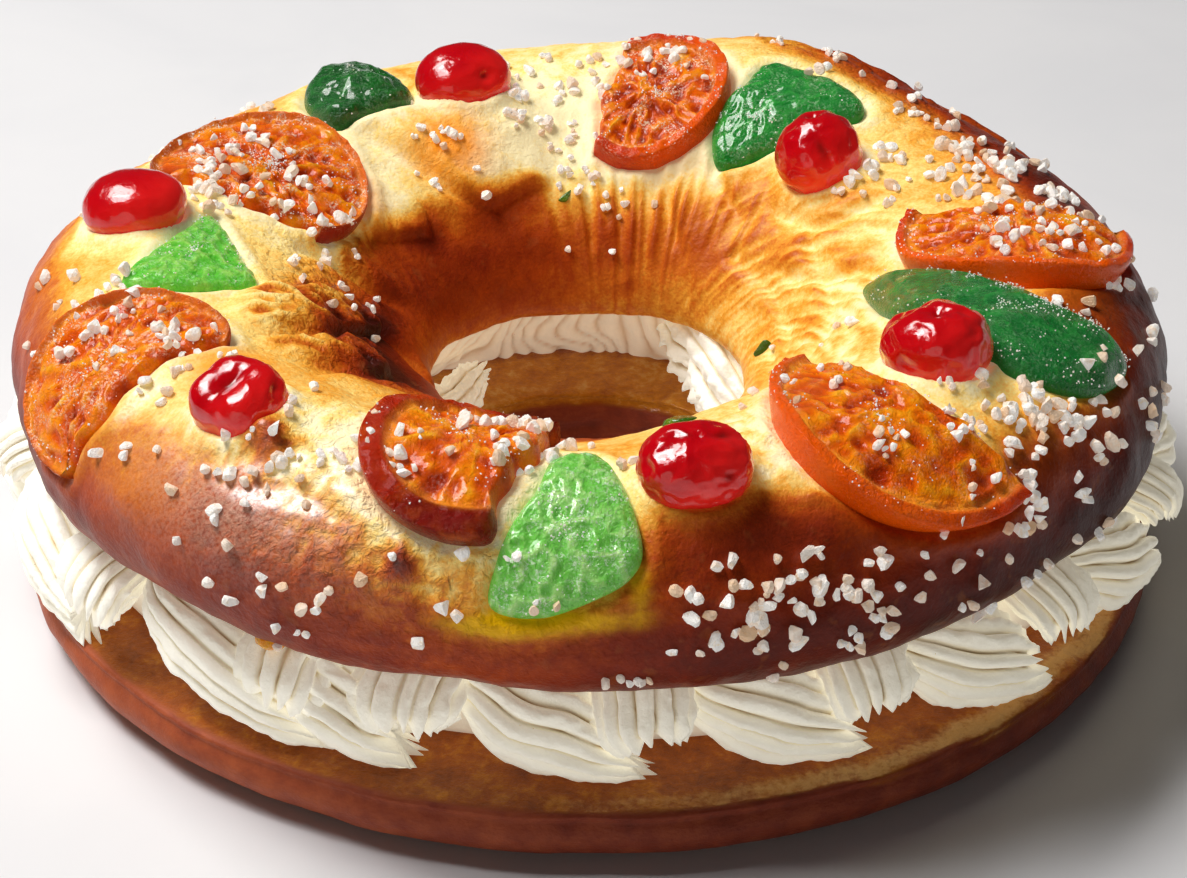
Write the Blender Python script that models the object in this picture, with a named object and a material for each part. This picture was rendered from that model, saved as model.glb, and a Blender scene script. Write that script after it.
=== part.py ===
"""Roscon de reyes: a ring of glazed bread cut level, filled with piped cream and
topped with candied cherries, pieces of green candied fruit and half slices of
candied orange. Metres, +Z up. The ring rests on z = 0 and its hole is on the Z axis.

Sizes below are in millimetres and degrees. A place on the crust is given by its angle
round the ring, from +X, and by "across", the distance along the crust from the ridge,
positive outwards.
"""

import math
from dataclasses import dataclass

import bmesh
import bpy
import numpy as np
from mathutils import Vector

MM = 0.001
TURN = 360.0

# The ring of bread. A section is a list of (radius, height) points that starts under
# the crown, goes out, over the ridge and down into the hole.
CROWN_FRONT_SECTION = (
    (84, 38), (112, 38.5), (123, 42), (128, 52), (124, 66.5), (113, 76.5), (98, 80),
    (80, 74), (61, 62), (45, 51.5), (36, 43.5), (38.5, 38.4), (58, 38),
)
CROWN_BACK_SECTION = (
    (84, 38), (112, 38.5), (123, 42), (127, 52), (122, 67), (111, 77), (95, 81.5),
    (76, 79.5), (57, 71.5), (43, 59), (36, 46), (38.5, 38.4), (58, 38),
)
RIDGE_POINT = 6
OVAL = 0.012  # how much wider the ring is from side to side than from front to back
CROWN_STEPS_ROUND = 54
CROWN_STEPS_SECTION = 20

# The bottom bun: its cut face is level and its crust curves under.
BASE_SECTION = (
    (84, 0), (116, 0), (124.5, 3), (128, 8), (126.8, 12.6), (123.6, 14.4),
    (84, 14.5), (46, 14.4), (41.6, 12.4), (38.6, 8), (37, 3), (41, 0),
)
BASE_STEPS_ROUND = 48

# The piped cream between the two.
CREAM_BOTTOM = 14.8
CREAM_TOP = 37.7
CREAM_FRONT_RADIUS = 119.0
CREAM_SIDE_SWELL = 13.0
CREAM_BACK_SWELL = 5.0
CREAM_HOLE_RADIUS = 45.0
CREAM_HOLE_RECESS = 17.0
CREAM_SWIRLS = 18
CREAM_RIDGES = 2.5
CREAM_RIDGE_SLANT = 0.8  # ridges passed from one end of a swirl to the other
CREAM_RIDGE_DEPTH = 1.5
CREAM_TIP = 4.5
CREAM_NOTCH = 2.2
CREAM_STEPS_ROUND = 108
CREAM_OUTER_STEPS = 9
CREAM_HOLE_LEVELS = (1.0, 0.5, 0.0)

# Candied fruit.
POCKET_GAP = 0.45  # clearance of a fruit in the dough, measured along its normals
LEAF_STEPS = 16
LEAF_SINK = 1.6
SLICE_ARC_STEPS = 13
SLICE_SINK = 2.2
SLICE_HOLLOW = 1.6  # how far the pulp lies below the top of the rind
CHERRY_SINK = 4.0
CHERRY_STEPS = 12


@dataclass(frozen=True)
class Swelling:
    """A rise or, with a negative height, a dip of the dough."""

    angle: float
    across: float
    spread_angle: float
    spread_across: float
    height: float


@dataclass(frozen=True)
class Cherry:
    """A cherry: length runs along the ring, breadth across it."""

    angle: float
    across: float
    length: float
    breadth: float
    height: float
    dent: float = 0.0


@dataclass(frozen=True)
class Leaf:
    """A flat piece of green fruit: its corners are (angle, across)."""

    corners: tuple
    thickness: float
    rise: float


@dataclass(frozen=True)
class Slice:
    """A half slice: angle and across give the middle of its straight side."""

    angle: float
    across: float
    half_length: float
    depth: float
    turn: float
    thickness: float


SWELLINGS = (
    Swelling(62, 8, 14, 22, 5.5),
    Swelling(241, 20, 13, 17, 2.4),
    Swelling(203, -28, 8, 8, 2.6),
    Swelling(188, -40, 8, 7, 2.0),
    Swelling(216, -38, 7, 7, 2.0),
    Swelling(118, -30, 11, 9, 2.6),
    Swelling(150, 6, 16, 18, -2.2),
    Swelling(325, -30, 12, 10, 1.6),
    Swelling(20, -30, 10, 9, 1.8),
    Swelling(261, -15, 11, 12, -4.5),
    Swelling(298, -23, 10, 10, 3.0),
)

CHERRIES = {
    "cherry_left": Cherry(179.5, 3, 21, 23, 15),
    "cherry_back": Cherry(114, -16, 23, 20, 16),
    "cherry_left_front": Cherry(231, 11, 21, 20, 16, dent=0.2),
    "cherry_front": Cherry(280.7, 11, 23, 20, 16),
    "cherry_back_right": Cherry(36, -29, 20, 20, 19),
    "cherry_right": Cherry(319, -4, 21, 23, 17, dent=0.1),
}

LEAVES = {
    "green_back": Leaf(
        ((137, 0), (129, 8), (124.5, 4), (122.5, -10), (125, -17), (133, -17), (140, -15)),
        thickness=4.5,
        rise=1.5,
    ),
    "green_left": Leaf(
        ((177, -12), (181, -17), (189, -21), (198, -22), (200, -11), (199.5, -3),
         (197, 6), (191, -1), (183, -8)),
        thickness=3.0,
        rise=1.0,
    ),
    "green_front": Leaf(
        ((266.5, 3), (271, 2.5), (273.5, 11), (275, 24), (274, 30), (271, 34), (266, 38),
         (261.8, 36.5), (262, 28), (263, 21), (265, 13)),
        thickness=2.6,
        rise=0.4,
    ),
    "green_right": Leaf(
        ((353, -39), (353, -32), (347, -22), (340.5, -5), (337.5, 8), (337, 19),
         (336.5, 26), (331, 25), (326.5, 20), (323.5, 12), (323, 2), (326, -8),
         (337, -29)),
        thickness=3.6,
        rise=1.2,
    ),
    "green_back_right": Leaf(
        ((62, -16), (61, -7), (53.5, -5), (44, -6), (41, -11), (44.5, -19), (48.5, -29),
         (53, -37), (58.5, -40), (63, -32), (63.5, -22)),
        thickness=3.2,
        rise=1.0,
    ),
}

SLICES = {
    "orange_left_back": Slice(169, -15, 25, 39, -4, 4.2),
    "orange_left": Slice(216.5, 17, 24, 32, -3, 4.0),
    "orange_front_left": Slice(263.5, 5.5, 22.5, 32, -14, 6.5),
    "orange_front_right": Slice(309.5, 4, 28, 31, 11, 6.0),
    "orange_right_back": Slice(4, -2, 25, 34, -14, 5.5),
    "orange_back": Slice(87, -22, 21, 30, -10, 5.5),
}

# Where two pieces of fruit lean on each other, the first is hollowed for the second.
FRUIT_CUTS = (
    ("green_right", "cherry_right"),
    ("green_right", "orange_right_back"),
    ("green_back_right", "cherry_back_right"),
    ("green_back_right", "orange_back"),
    ("green_front", "orange_front_left"),
    ("green_left", "orange_left"),
    ("green_back", "cherry_back"),
    ("green_back", "orange_left_back"),
)

# Base colour and roughness of each kind of piece.
FINISHES = {
    "crown": ((0.42, 0.17, 0.055), 0.32),
    "base": ((0.36, 0.15, 0.05), 0.45),
    "cream": ((0.90, 0.85, 0.74), 0.5),
    "cherry": ((0.45, 0.01, 0.012), 0.15),
    "green": ((0.03, 0.20, 0.045), 0.25),
    "orange": ((0.72, 0.16, 0.015), 0.25),
}


def smooth_closed(points, position):
    """Points on the closed smooth curve through the given points, at float positions."""
    points = np.asarray(points, float)
    position = np.asarray(position, float)
    count = len(points)
    start = np.floor(position).astype(int)
    part = (position - start)[..., None]
    before = points[(start - 1) % count]
    here = points[start % count]
    after = points[(start + 1) % count]
    beyond = points[(start + 2) % count]
    return 0.5 * (
        2 * here
        + (after - before) * part
        + (2 * before - 5 * here + 4 * after - beyond) * part**2
        + (3 * here - before - 3 * after + beyond) * part**3
    )


def section_length_table():
    """Positions along the crown's section and the distance across at each."""
    samples_per_point = 100
    count = len(CROWN_FRONT_SECTION)
    position = np.linspace(0, count, samples_per_point * count + 1)
    front = smooth_closed(CROWN_FRONT_SECTION, position)
    back = smooth_closed(CROWN_BACK_SECTION, position)
    steps = np.hypot(*np.diff((front + back) / 2, axis=0).T)
    length = np.concatenate([[0.0], np.cumsum(steps)])
    return position, np.interp(RIDGE_POINT, position, length) - length


SECTION_POSITION, SECTION_ACROSS = section_length_table()


def bell(distance, spread):
    """A smooth hump of height 1 that fades over the spread."""
    return np.exp(-0.5 * (distance / spread) ** 2)


def turn_between(first, second):
    """The signed difference of two angles, from -180 to 180."""
    return (first - second + TURN / 2) % TURN - TURN / 2


def oval_scale(angle):
    """The ring's radius at this angle, as a share of its mean radius."""
    return 1.0 + OVAL * np.cos(2 * np.radians(angle))


def around(angle, radius, height):
    """Points from angles, radii and heights that broadcast together."""
    angle, radius, height = np.broadcast_arrays(angle, radius, height)
    x = radius * np.cos(np.radians(angle))
    y = radius * np.sin(np.radians(angle))
    return np.stack([x, y, height], axis=-1)


def crown_points(angle, across, lift=0.0):
    """Points on the crust, or lifted off it along its normal."""
    angle, across, lift = (
        np.array(each, float) for each in np.broadcast_arrays(angle, across, lift)
    )
    position = np.interp(-across, -SECTION_ACROSS, SECTION_POSITION)
    back_share = (0.5 + 0.5 * np.sin(np.radians(angle)))[..., None]

    def outline(at):
        front_point = smooth_closed(CROWN_FRONT_SECTION, at)
        back_point = smooth_closed(CROWN_BACK_SECTION, at)
        return front_point + (back_point - front_point) * back_share

    tiny = 0.02
    along = outline(position + tiny) - outline(position - tiny)
    normal = np.stack([along[..., 1], -along[..., 0]], axis=-1)
    normal /= np.linalg.norm(normal, axis=-1, keepdims=True)
    height = lift
    for rise in SWELLINGS:
        height = height + (
            rise.height
            * bell(turn_between(angle, rise.angle), rise.spread_angle)
            * bell(across - rise.across, rise.spread_across)
        )
    point = outline(position) + normal * height[..., None]
    return around(angle, point[..., 0] * oval_scale(angle), point[..., 1])


def crown_frame(angle, across):
    """The crust's normal and the direction along the ring, at one place."""
    foot = Vector(crown_points(angle, across))
    normal = (Vector(crown_points(angle, across, 1.0)) - foot).normalized()
    along = Vector(crown_points(angle + 1, across)) - Vector(crown_points(angle - 1, across))
    along = (along - normal * along.dot(normal)).normalized()
    return normal, along


def ring_faces(rows, columns):
    """Quads of a grid closed both ways: rows go round the ring, columns round a section."""
    faces = []
    for row in range(rows):
        after = (row + 1) % rows
        for column in range(columns):
            beside = (column + 1) % columns
            faces.append(
                (
                    row * columns + column,
                    after * columns + column,
                    after * columns + beside,
                    row * columns + beside,
                )
            )
    return faces


def capped_faces(loops, count):
    """Faces of loops of points between a first and a last single point."""
    last = 1 + loops * count
    faces = []
    for step in range(count):
        after = (step + 1) % count
        faces.append((0, 1 + step, 1 + after))
        for loop in range(loops - 1):
            start = 1 + loop * count
            below = start + count
            faces.append((start + step, below + step, below + after, start + after))
        start = 1 + (loops - 1) * count
        faces.append((last, start + after, start + step))
    return faces


def make_material(name, kind):
    """A plain material in the piece's own colour."""
    colour, roughness = FINISHES[kind]
    material = bpy.data.materials.new(name)
    material.use_nodes = True
    shader = material.node_tree.nodes["Principled BSDF"]
    shader.inputs["Base Color"].default_value = (*colour, 1.0)
    shader.inputs["Roughness"].default_value = roughness
    return material


def make_object(name, points, faces, kind, parent):
    """A smooth-shaded piece whose origin is its middle, from points in millimetres."""
    points = np.asarray(points, float).reshape(-1, 3)
    middle = (points.min(axis=0) + points.max(axis=0)) / 2
    mesh = bpy.data.meshes.new(name)
    work = bmesh.new()
    corners = [work.verts.new(Vector(point) * MM) for point in points - middle]
    for face in faces:
        work.faces.new([corners[index] for index in face])
    bmesh.ops.triangulate(work, faces=list(work.faces))
    if work.calc_volume(signed=True) < 0:
        bmesh.ops.reverse_faces(work, faces=list(work.faces))
    work.to_mesh(mesh)
    work.free()
    mesh.shade_smooth()
    mesh.materials.append(make_material(name, kind))
    piece = bpy.data.objects.new(name, mesh)
    bpy.context.scene.collection.objects.link(piece)
    piece.location = Vector(middle) * MM
    piece.parent = parent
    return piece


def build_crown(parent):
    """The top bun, whose level cut face lies on the cream."""
    angle = np.arange(CROWN_STEPS_ROUND) * TURN / CROWN_STEPS_ROUND
    low, high = SECTION_ACROSS[-1], SECTION_ACROSS[0]
    across = low + (high - low) * np.arange(CROWN_STEPS_SECTION) / CROWN_STEPS_SECTION
    points = crown_points(angle[:, None], across[None, :])
    faces = ring_faces(CROWN_STEPS_ROUND, CROWN_STEPS_SECTION)
    return make_object("crown", points, faces, "crown", parent)


def build_base(parent):
    """The bottom bun."""
    angle = np.arange(BASE_STEPS_ROUND)[:, None] * TURN / BASE_STEPS_ROUND
    section = np.asarray(BASE_SECTION, float)
    points = around(angle, section[:, 0] * oval_scale(angle), section[:, 1])
    faces = ring_faces(BASE_STEPS_ROUND, len(BASE_SECTION))
    return make_object("base", points, faces, "base", parent)


def cream_outer(angle, level):
    """Radius of the cream's outer face; level goes from 0 at the bottom to 1."""
    radians = np.radians(angle)
    swirl = (angle * CREAM_SWIRLS / TURN) % 1.0
    rim = (
        CREAM_FRONT_RADIUS
        + CREAM_SIDE_SWELL * np.cos(radians) ** 2
        + CREAM_BACK_SWELL * (0.5 + 0.5 * np.sin(radians))
    )
    belly = -7.0 * (1.0 - level) ** 2 - 3.0 * level**3
    tip = CREAM_TIP * swirl * (1.0 - level) ** 1.5
    phase = CREAM_RIDGES * level + CREAM_RIDGE_SLANT * swirl
    ridges = CREAM_RIDGE_DEPTH * np.cos(2 * math.pi * phase)
    notch = CREAM_NOTCH * (bell(swirl - 0.04, 0.05) + bell(swirl - 1.04, 0.05))
    return rim + belly + tip + ridges - notch


def cream_inner(angle, level):
    """Radius of the cream's face in the hole, which swells in at two places."""
    right = bell(turn_between(angle, 10.0), 32.0)
    left = bell(turn_between(angle, 200.0), 24.0)
    recess = CREAM_HOLE_RECESS * (1.0 - 0.85 * np.maximum(right, left))
    wave = 0.9 * np.cos(np.radians(angle * CREAM_SWIRLS * 1.5))
    return CREAM_HOLE_RADIUS + recess * (1.0 - level) ** 1.3 + wave


def build_cream(parent):
    """The cream: one closed ring whose outer face has swirled ridges and tips."""
    angle = np.arange(CREAM_STEPS_ROUND)[:, None] * TURN / CREAM_STEPS_ROUND
    outer_level = np.linspace(0.0, 1.0, CREAM_OUTER_STEPS)
    inner_level = np.array(CREAM_HOLE_LEVELS)
    radius = np.concatenate(
        [cream_outer(angle, outer_level), cream_inner(angle, inner_level)], axis=1
    )
    level = np.concatenate([outer_level, inner_level])
    points = around(angle, radius, CREAM_BOTTOM + (CREAM_TOP - CREAM_BOTTOM) * level)
    faces = ring_faces(CREAM_STEPS_ROUND, len(level))
    return make_object("cream", points, faces, "cream", parent)


def build_patch(name, outline, top, loops, bottom, kind, parent):
    """A closed piece draped on the crust.

    The outline is (angle, across) points, top and bottom are the lifts of the middle,
    and each loop is (share of the way out from the middle, lift).
    """
    outline = np.asarray(outline, float)
    middle = outline.mean(axis=0)
    points = [crown_points(*middle, top)]
    for share, lift in loops:
        ring = middle + (outline - middle) * share
        points.extend(crown_points(ring[:, 0], ring[:, 1], lift))
    points.append(crown_points(*middle, bottom))
    faces = capped_faces(len(loops), len(outline))
    return make_object(name, points, faces, kind, parent)


def build_leaf(name, leaf, parent):
    """A flat piece of green fruit with a rounded edge, bent over the dough."""
    corners = len(leaf.corners)
    outline = smooth_closed(leaf.corners, np.arange(LEAF_STEPS) * corners / LEAF_STEPS)
    loops = (
        (0.55, leaf.thickness + 0.6 * leaf.rise),
        (0.94, leaf.thickness),
        (1.0, 0.3 * leaf.thickness),
        (0.97, -LEAF_SINK),
    )
    top = leaf.thickness + leaf.rise
    return build_patch(name, outline, top, loops, -LEAF_SINK, "green", parent)


def slice_outline(half):
    """The outline of a half slice: the arc of the rind, then the straight side."""
    centre = half.depth - half.half_length
    sweep = np.linspace(-1.0, 1.0, SLICE_ARC_STEPS) * math.acos(
        -centre / half.half_length
    )
    arc_x = centre + half.half_length * np.cos(sweep)
    arc_y = half.half_length * np.sin(sweep)
    side_y = arc_y[-1] * np.array([0.5, 0.0, -0.5])
    x = np.concatenate([arc_x, np.zeros(len(side_y))])
    y = np.concatenate([arc_y, side_y])
    cosine, sine = math.cos(math.radians(half.turn)), math.sin(math.radians(half.turn))
    foot = crown_points(half.angle, half.across)
    degrees_per_mm = math.degrees(1.0 / math.hypot(foot[0], foot[1]))
    angle = half.angle - (x * cosine - y * sine) * degrees_per_mm
    return np.stack([angle, half.across + x * sine + y * cosine], axis=-1)


def build_slice(name, half, parent):
    """A half slice of candied orange: a raised rind round a slightly hollow pulp."""
    pulp = half.thickness - SLICE_HOLLOW
    loops = (
        (0.82, pulp),
        (0.92, half.thickness),
        (1.0, 0.75 * half.thickness),
        (0.99, -SLICE_SINK),
    )
    outline = slice_outline(half)
    return build_patch(name, outline, pulp, loops, -SLICE_SINK, "orange", parent)


def build_cherry(name, cherry, parent):
    """A candied cherry pressed into the dough: a squashed ball, some with a dent."""
    normal, along = crown_frame(cherry.angle, cherry.across)
    outwards = along.cross(normal)
    lift = 0.5 * cherry.height - CHERRY_SINK
    origin = Vector(crown_points(cherry.angle, cherry.across, lift))
    rows = CHERRY_STEPS // 2 - 1
    points = [origin + normal * 0.5 * cherry.height * (1.0 - cherry.dent)]
    for row in range(1, rows + 1):
        fall = math.pi * row / (rows + 1)
        for step in range(CHERRY_STEPS):
            spin = 2 * math.pi * step / CHERRY_STEPS
            pinch = 1.0 - cherry.dent * math.cos(spin) ** 6 if row == 1 else 1.0
            x = 0.5 * cherry.length * math.sin(fall) * math.cos(spin)
            y = 0.5 * cherry.breadth * math.sin(fall) * math.sin(spin)
            z = 0.5 * cherry.height * math.cos(fall) * pinch
            points.append(origin + along * x + outwards * y + normal * z)
    points.append(origin - normal * 0.5 * cherry.height)
    faces = capped_faces(rows, CHERRY_STEPS)
    return make_object(name, points, faces, "cherry", parent)


def make_cutter(piece):
    """A slightly larger copy of a piece, which hollows what it is pressed into."""
    mesh = piece.data.copy()
    work = bmesh.new()
    work.from_mesh(mesh)
    work.normal_update()
    for vertex in work.verts:
        vertex.co += vertex.normal * POCKET_GAP * MM
    work.to_mesh(mesh)
    work.free()
    cutter = bpy.data.objects.new(piece.name + "_cutter", mesh)
    bpy.context.scene.collection.objects.link(cutter)
    cutter.location = piece.location
    cutter.parent = piece.parent
    cutter.hide_render = True
    cutter.display_type = "WIRE"
    return cutter


def hollow(piece, cutter):
    """Cuts a pocket for the cutter's piece out of another."""
    modifier = piece.modifiers.new("pocket_" + cutter.name, "BOOLEAN")
    modifier.operation = "DIFFERENCE"
    modifier.solver = "EXACT"
    modifier.object = cutter


def centre_on_axis(parent, pieces):
    """Moves the parent so that the middle of the pieces' box is on the Z axis."""
    corners = [piece.location + vertex.co for piece in pieces for vertex in piece.data.vertices]
    for axis in (0, 1):
        values = [corner[axis] for corner in corners]
        parent.location[axis] = -(min(values) + max(values)) / 2


def main():
    """Builds every piece and presses the fruit into the crust."""
    for item in list(bpy.data.objects):
        bpy.data.objects.remove(item)
    ring = bpy.data.objects.new("roscon", None)
    bpy.context.scene.collection.objects.link(ring)
    crown = build_crown(ring)
    base = build_base(ring)
    cream = build_cream(ring)
    fruit = {name: build_cherry(name, cherry, ring) for name, cherry in CHERRIES.items()}
    fruit.update({name: build_leaf(name, leaf, ring) for name, leaf in LEAVES.items()})
    fruit.update({name: build_slice(name, half, ring) for name, half in SLICES.items()})
    cutters = {name: make_cutter(piece) for name, piece in fruit.items()}
    for cutter in cutters.values():
        hollow(crown, cutter)
    for name, other in FRUIT_CUTS:
        hollow(fruit[name], cutters[other])
    centre_on_axis(ring, [crown, base, cream, *fruit.values()])


main()
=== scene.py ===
"""The looks of a roscon de reyes: glazed crust, piped cream, candied fruit and sugar.

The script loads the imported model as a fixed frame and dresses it. Shapes are worked out
in millimetres round the ring's own axis, and a place on the crust is given by its angle
round the ring, from +X, and by "across", the distance along the crust from the ridge,
positive outwards.
"""

from __future__ import annotations

import logging
import math
from dataclasses import dataclass, field
from enum import Enum
from itertools import combinations
from typing import Any, ClassVar, Iterable, Union

import bpy
import numpy as np
from mathutils import Matrix, Vector

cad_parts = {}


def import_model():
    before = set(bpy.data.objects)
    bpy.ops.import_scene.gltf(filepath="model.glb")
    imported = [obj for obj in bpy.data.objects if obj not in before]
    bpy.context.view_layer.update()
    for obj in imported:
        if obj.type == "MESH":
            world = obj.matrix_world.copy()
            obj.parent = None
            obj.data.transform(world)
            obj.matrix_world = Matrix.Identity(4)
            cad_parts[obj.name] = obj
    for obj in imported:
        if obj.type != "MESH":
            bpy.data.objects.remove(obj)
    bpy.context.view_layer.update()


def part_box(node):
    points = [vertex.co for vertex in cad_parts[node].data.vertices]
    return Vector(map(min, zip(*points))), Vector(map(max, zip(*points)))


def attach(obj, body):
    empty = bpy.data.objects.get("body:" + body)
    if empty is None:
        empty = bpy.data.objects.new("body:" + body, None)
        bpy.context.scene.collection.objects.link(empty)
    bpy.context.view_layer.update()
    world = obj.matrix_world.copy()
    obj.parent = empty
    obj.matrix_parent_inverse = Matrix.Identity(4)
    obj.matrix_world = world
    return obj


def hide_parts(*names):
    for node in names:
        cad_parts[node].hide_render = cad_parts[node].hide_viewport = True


LOG = logging.getLogger("roscon")
MM = 0.001
TURN = 360.0
Array = np.ndarray
Colour = tuple[float, float, float]
Material = bpy.types.Material
Socket = bpy.types.NodeSocket


# ---- small mathematics


def bell(distance: Array, spread: float) -> Array:
    """Returns a smooth hump of height 1 that fades over the spread."""
    return np.exp(-0.5 * (distance / spread) ** 2)


def ease(value: Array, start: float, end: float) -> Array:
    """Returns a smooth step from 0 at start to 1 at end."""
    share = np.clip((value - start) / (end - start), 0.0, 1.0)
    return share * share * (3.0 - 2.0 * share)


def turn_between(first: Array, second: Array) -> Array:
    """Returns the signed difference of two angles, from -180 to 180."""
    return (first - second + TURN / 2) % TURN - TURN / 2


def smooth_curve(points: Any, position: Any, closed: bool) -> Array:
    """Reads a smooth curve through points.

    Args:
        points: The points the curve passes through, one a row.
        position: Where to read it; whole numbers are the points themselves.
        closed: Whether the last point is followed by the first.

    Returns:
        One point for each position.
    """
    points = np.asarray(points, float)
    position = np.asarray(position, float)
    count = len(points)
    start = np.floor(position).astype(int)
    if not closed:
        start = np.clip(start, 0, count - 2)
    part = (position - start)[..., None]
    wrap = (lambda at: at % count) if closed else (lambda at: np.clip(at, 0, count - 1))
    before, here = points[wrap(start - 1)], points[wrap(start)]
    after, beyond = points[wrap(start + 1)], points[wrap(start + 2)]
    return 0.5 * (
        2 * here
        + (after - before) * part
        + (2 * before - 5 * here + 4 * after - beyond) * part**2
        + (3 * here - before - 3 * after + beyond) * part**3
    )


def spaced(x: Any, y: Any, z: Any) -> Array:
    """Returns points from coordinates that broadcast together."""
    return np.stack(np.broadcast_arrays(x, y, z), axis=-1)


def around(angle: Array, radius: Array, height: Array) -> Array:
    """Returns points from angles, radii and heights that broadcast together."""
    turn = np.radians(angle)
    return spaced(radius * np.cos(turn), radius * np.sin(turn), height)


def rounded(share: Array, power: float) -> Array:
    """Returns the height of a rounded edge, from 1 at share 0 to 0 at share 1."""
    return (1.0 - share**power) ** (1 / power)


def rows_of(kind: type, *rows: tuple) -> tuple:
    """Returns one object of this kind for each row of its fields."""
    return tuple(kind(*row) for row in rows)


def unit(vectors: Array) -> Array:
    """Returns the vectors at length 1."""
    return vectors / np.maximum(np.linalg.norm(vectors, axis=-1, keepdims=True), 1e-9)


class Lumps:
    """Smooth random relief in space, from -1 to 1, the same on each run."""

    SIZE = 1024

    def __init__(self, seed: int) -> None:
        """Draws the table of values that the relief is read from."""
        draw = np.random.default_rng(seed)
        self.values = draw.random(self.SIZE) * 2.0 - 1.0
        self.order = draw.permutation(self.SIZE)

    def corner(self, cell: Array) -> Array:
        """Returns the value at whole-number places."""
        mask = self.SIZE - 1
        index = self.order[cell[..., 2] & mask]
        index = self.order[(cell[..., 1] + index) & mask]
        return self.values[self.order[(cell[..., 0] + index) & mask]]

    def at(self, points: Array, size: float) -> Array:
        """Reads the relief.

        Args:
            points: Places, in millimetres.
            size: The width of one lump, in millimetres.

        Returns:
            One value for each place.
        """
        scaled = points / size
        cell = np.floor(scaled).astype(int)
        part = scaled - cell
        part = part * part * (3.0 - 2.0 * part)
        total = np.zeros(points.shape[:-1])
        for step in np.ndindex(2, 2, 2):
            weight = np.ones(points.shape[:-1])
            for axis in range(3):
                weight = weight * (part[..., axis] if step[axis] else 1.0 - part[..., axis])
            total += weight * self.corner(cell + np.array(step))
        return total

    def layered(self, points: Array, size: float, layers: int = 3) -> Array:
        """Returns relief with finer lumps on the larger ones."""
        total = np.zeros(points.shape[:-1])
        for layer in range(layers):
            total += self.at(points + 37.0 * layer, size * 0.5**layer) * 0.55**layer
        return total


RELIEF = Lumps(20)
TOWARDS_KEY = unit(np.array([-0.62, 0.30, 0.72]))


# ---- the ring of bread


@dataclass(frozen=True)
class Spot:
    """A soft patch on the crust: a rise or a dip of the dough, or a change of its look."""

    angle: float
    across: float
    spread_angle: float
    spread_across: float
    amount: float

    def at(self, angle: Array, across: Array) -> Array:
        """Returns the patch's strength at these places."""
        return (
            self.amount
            * bell(turn_between(angle, self.angle), self.spread_angle)
            * bell(across - self.across, self.spread_across)
        )


def total(spots: Iterable[Spot], angle: Array, across: Array) -> Array:
    """Returns the patches' strengths at these places, added up."""
    return sum(spot.at(angle, across) for spot in spots)


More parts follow.
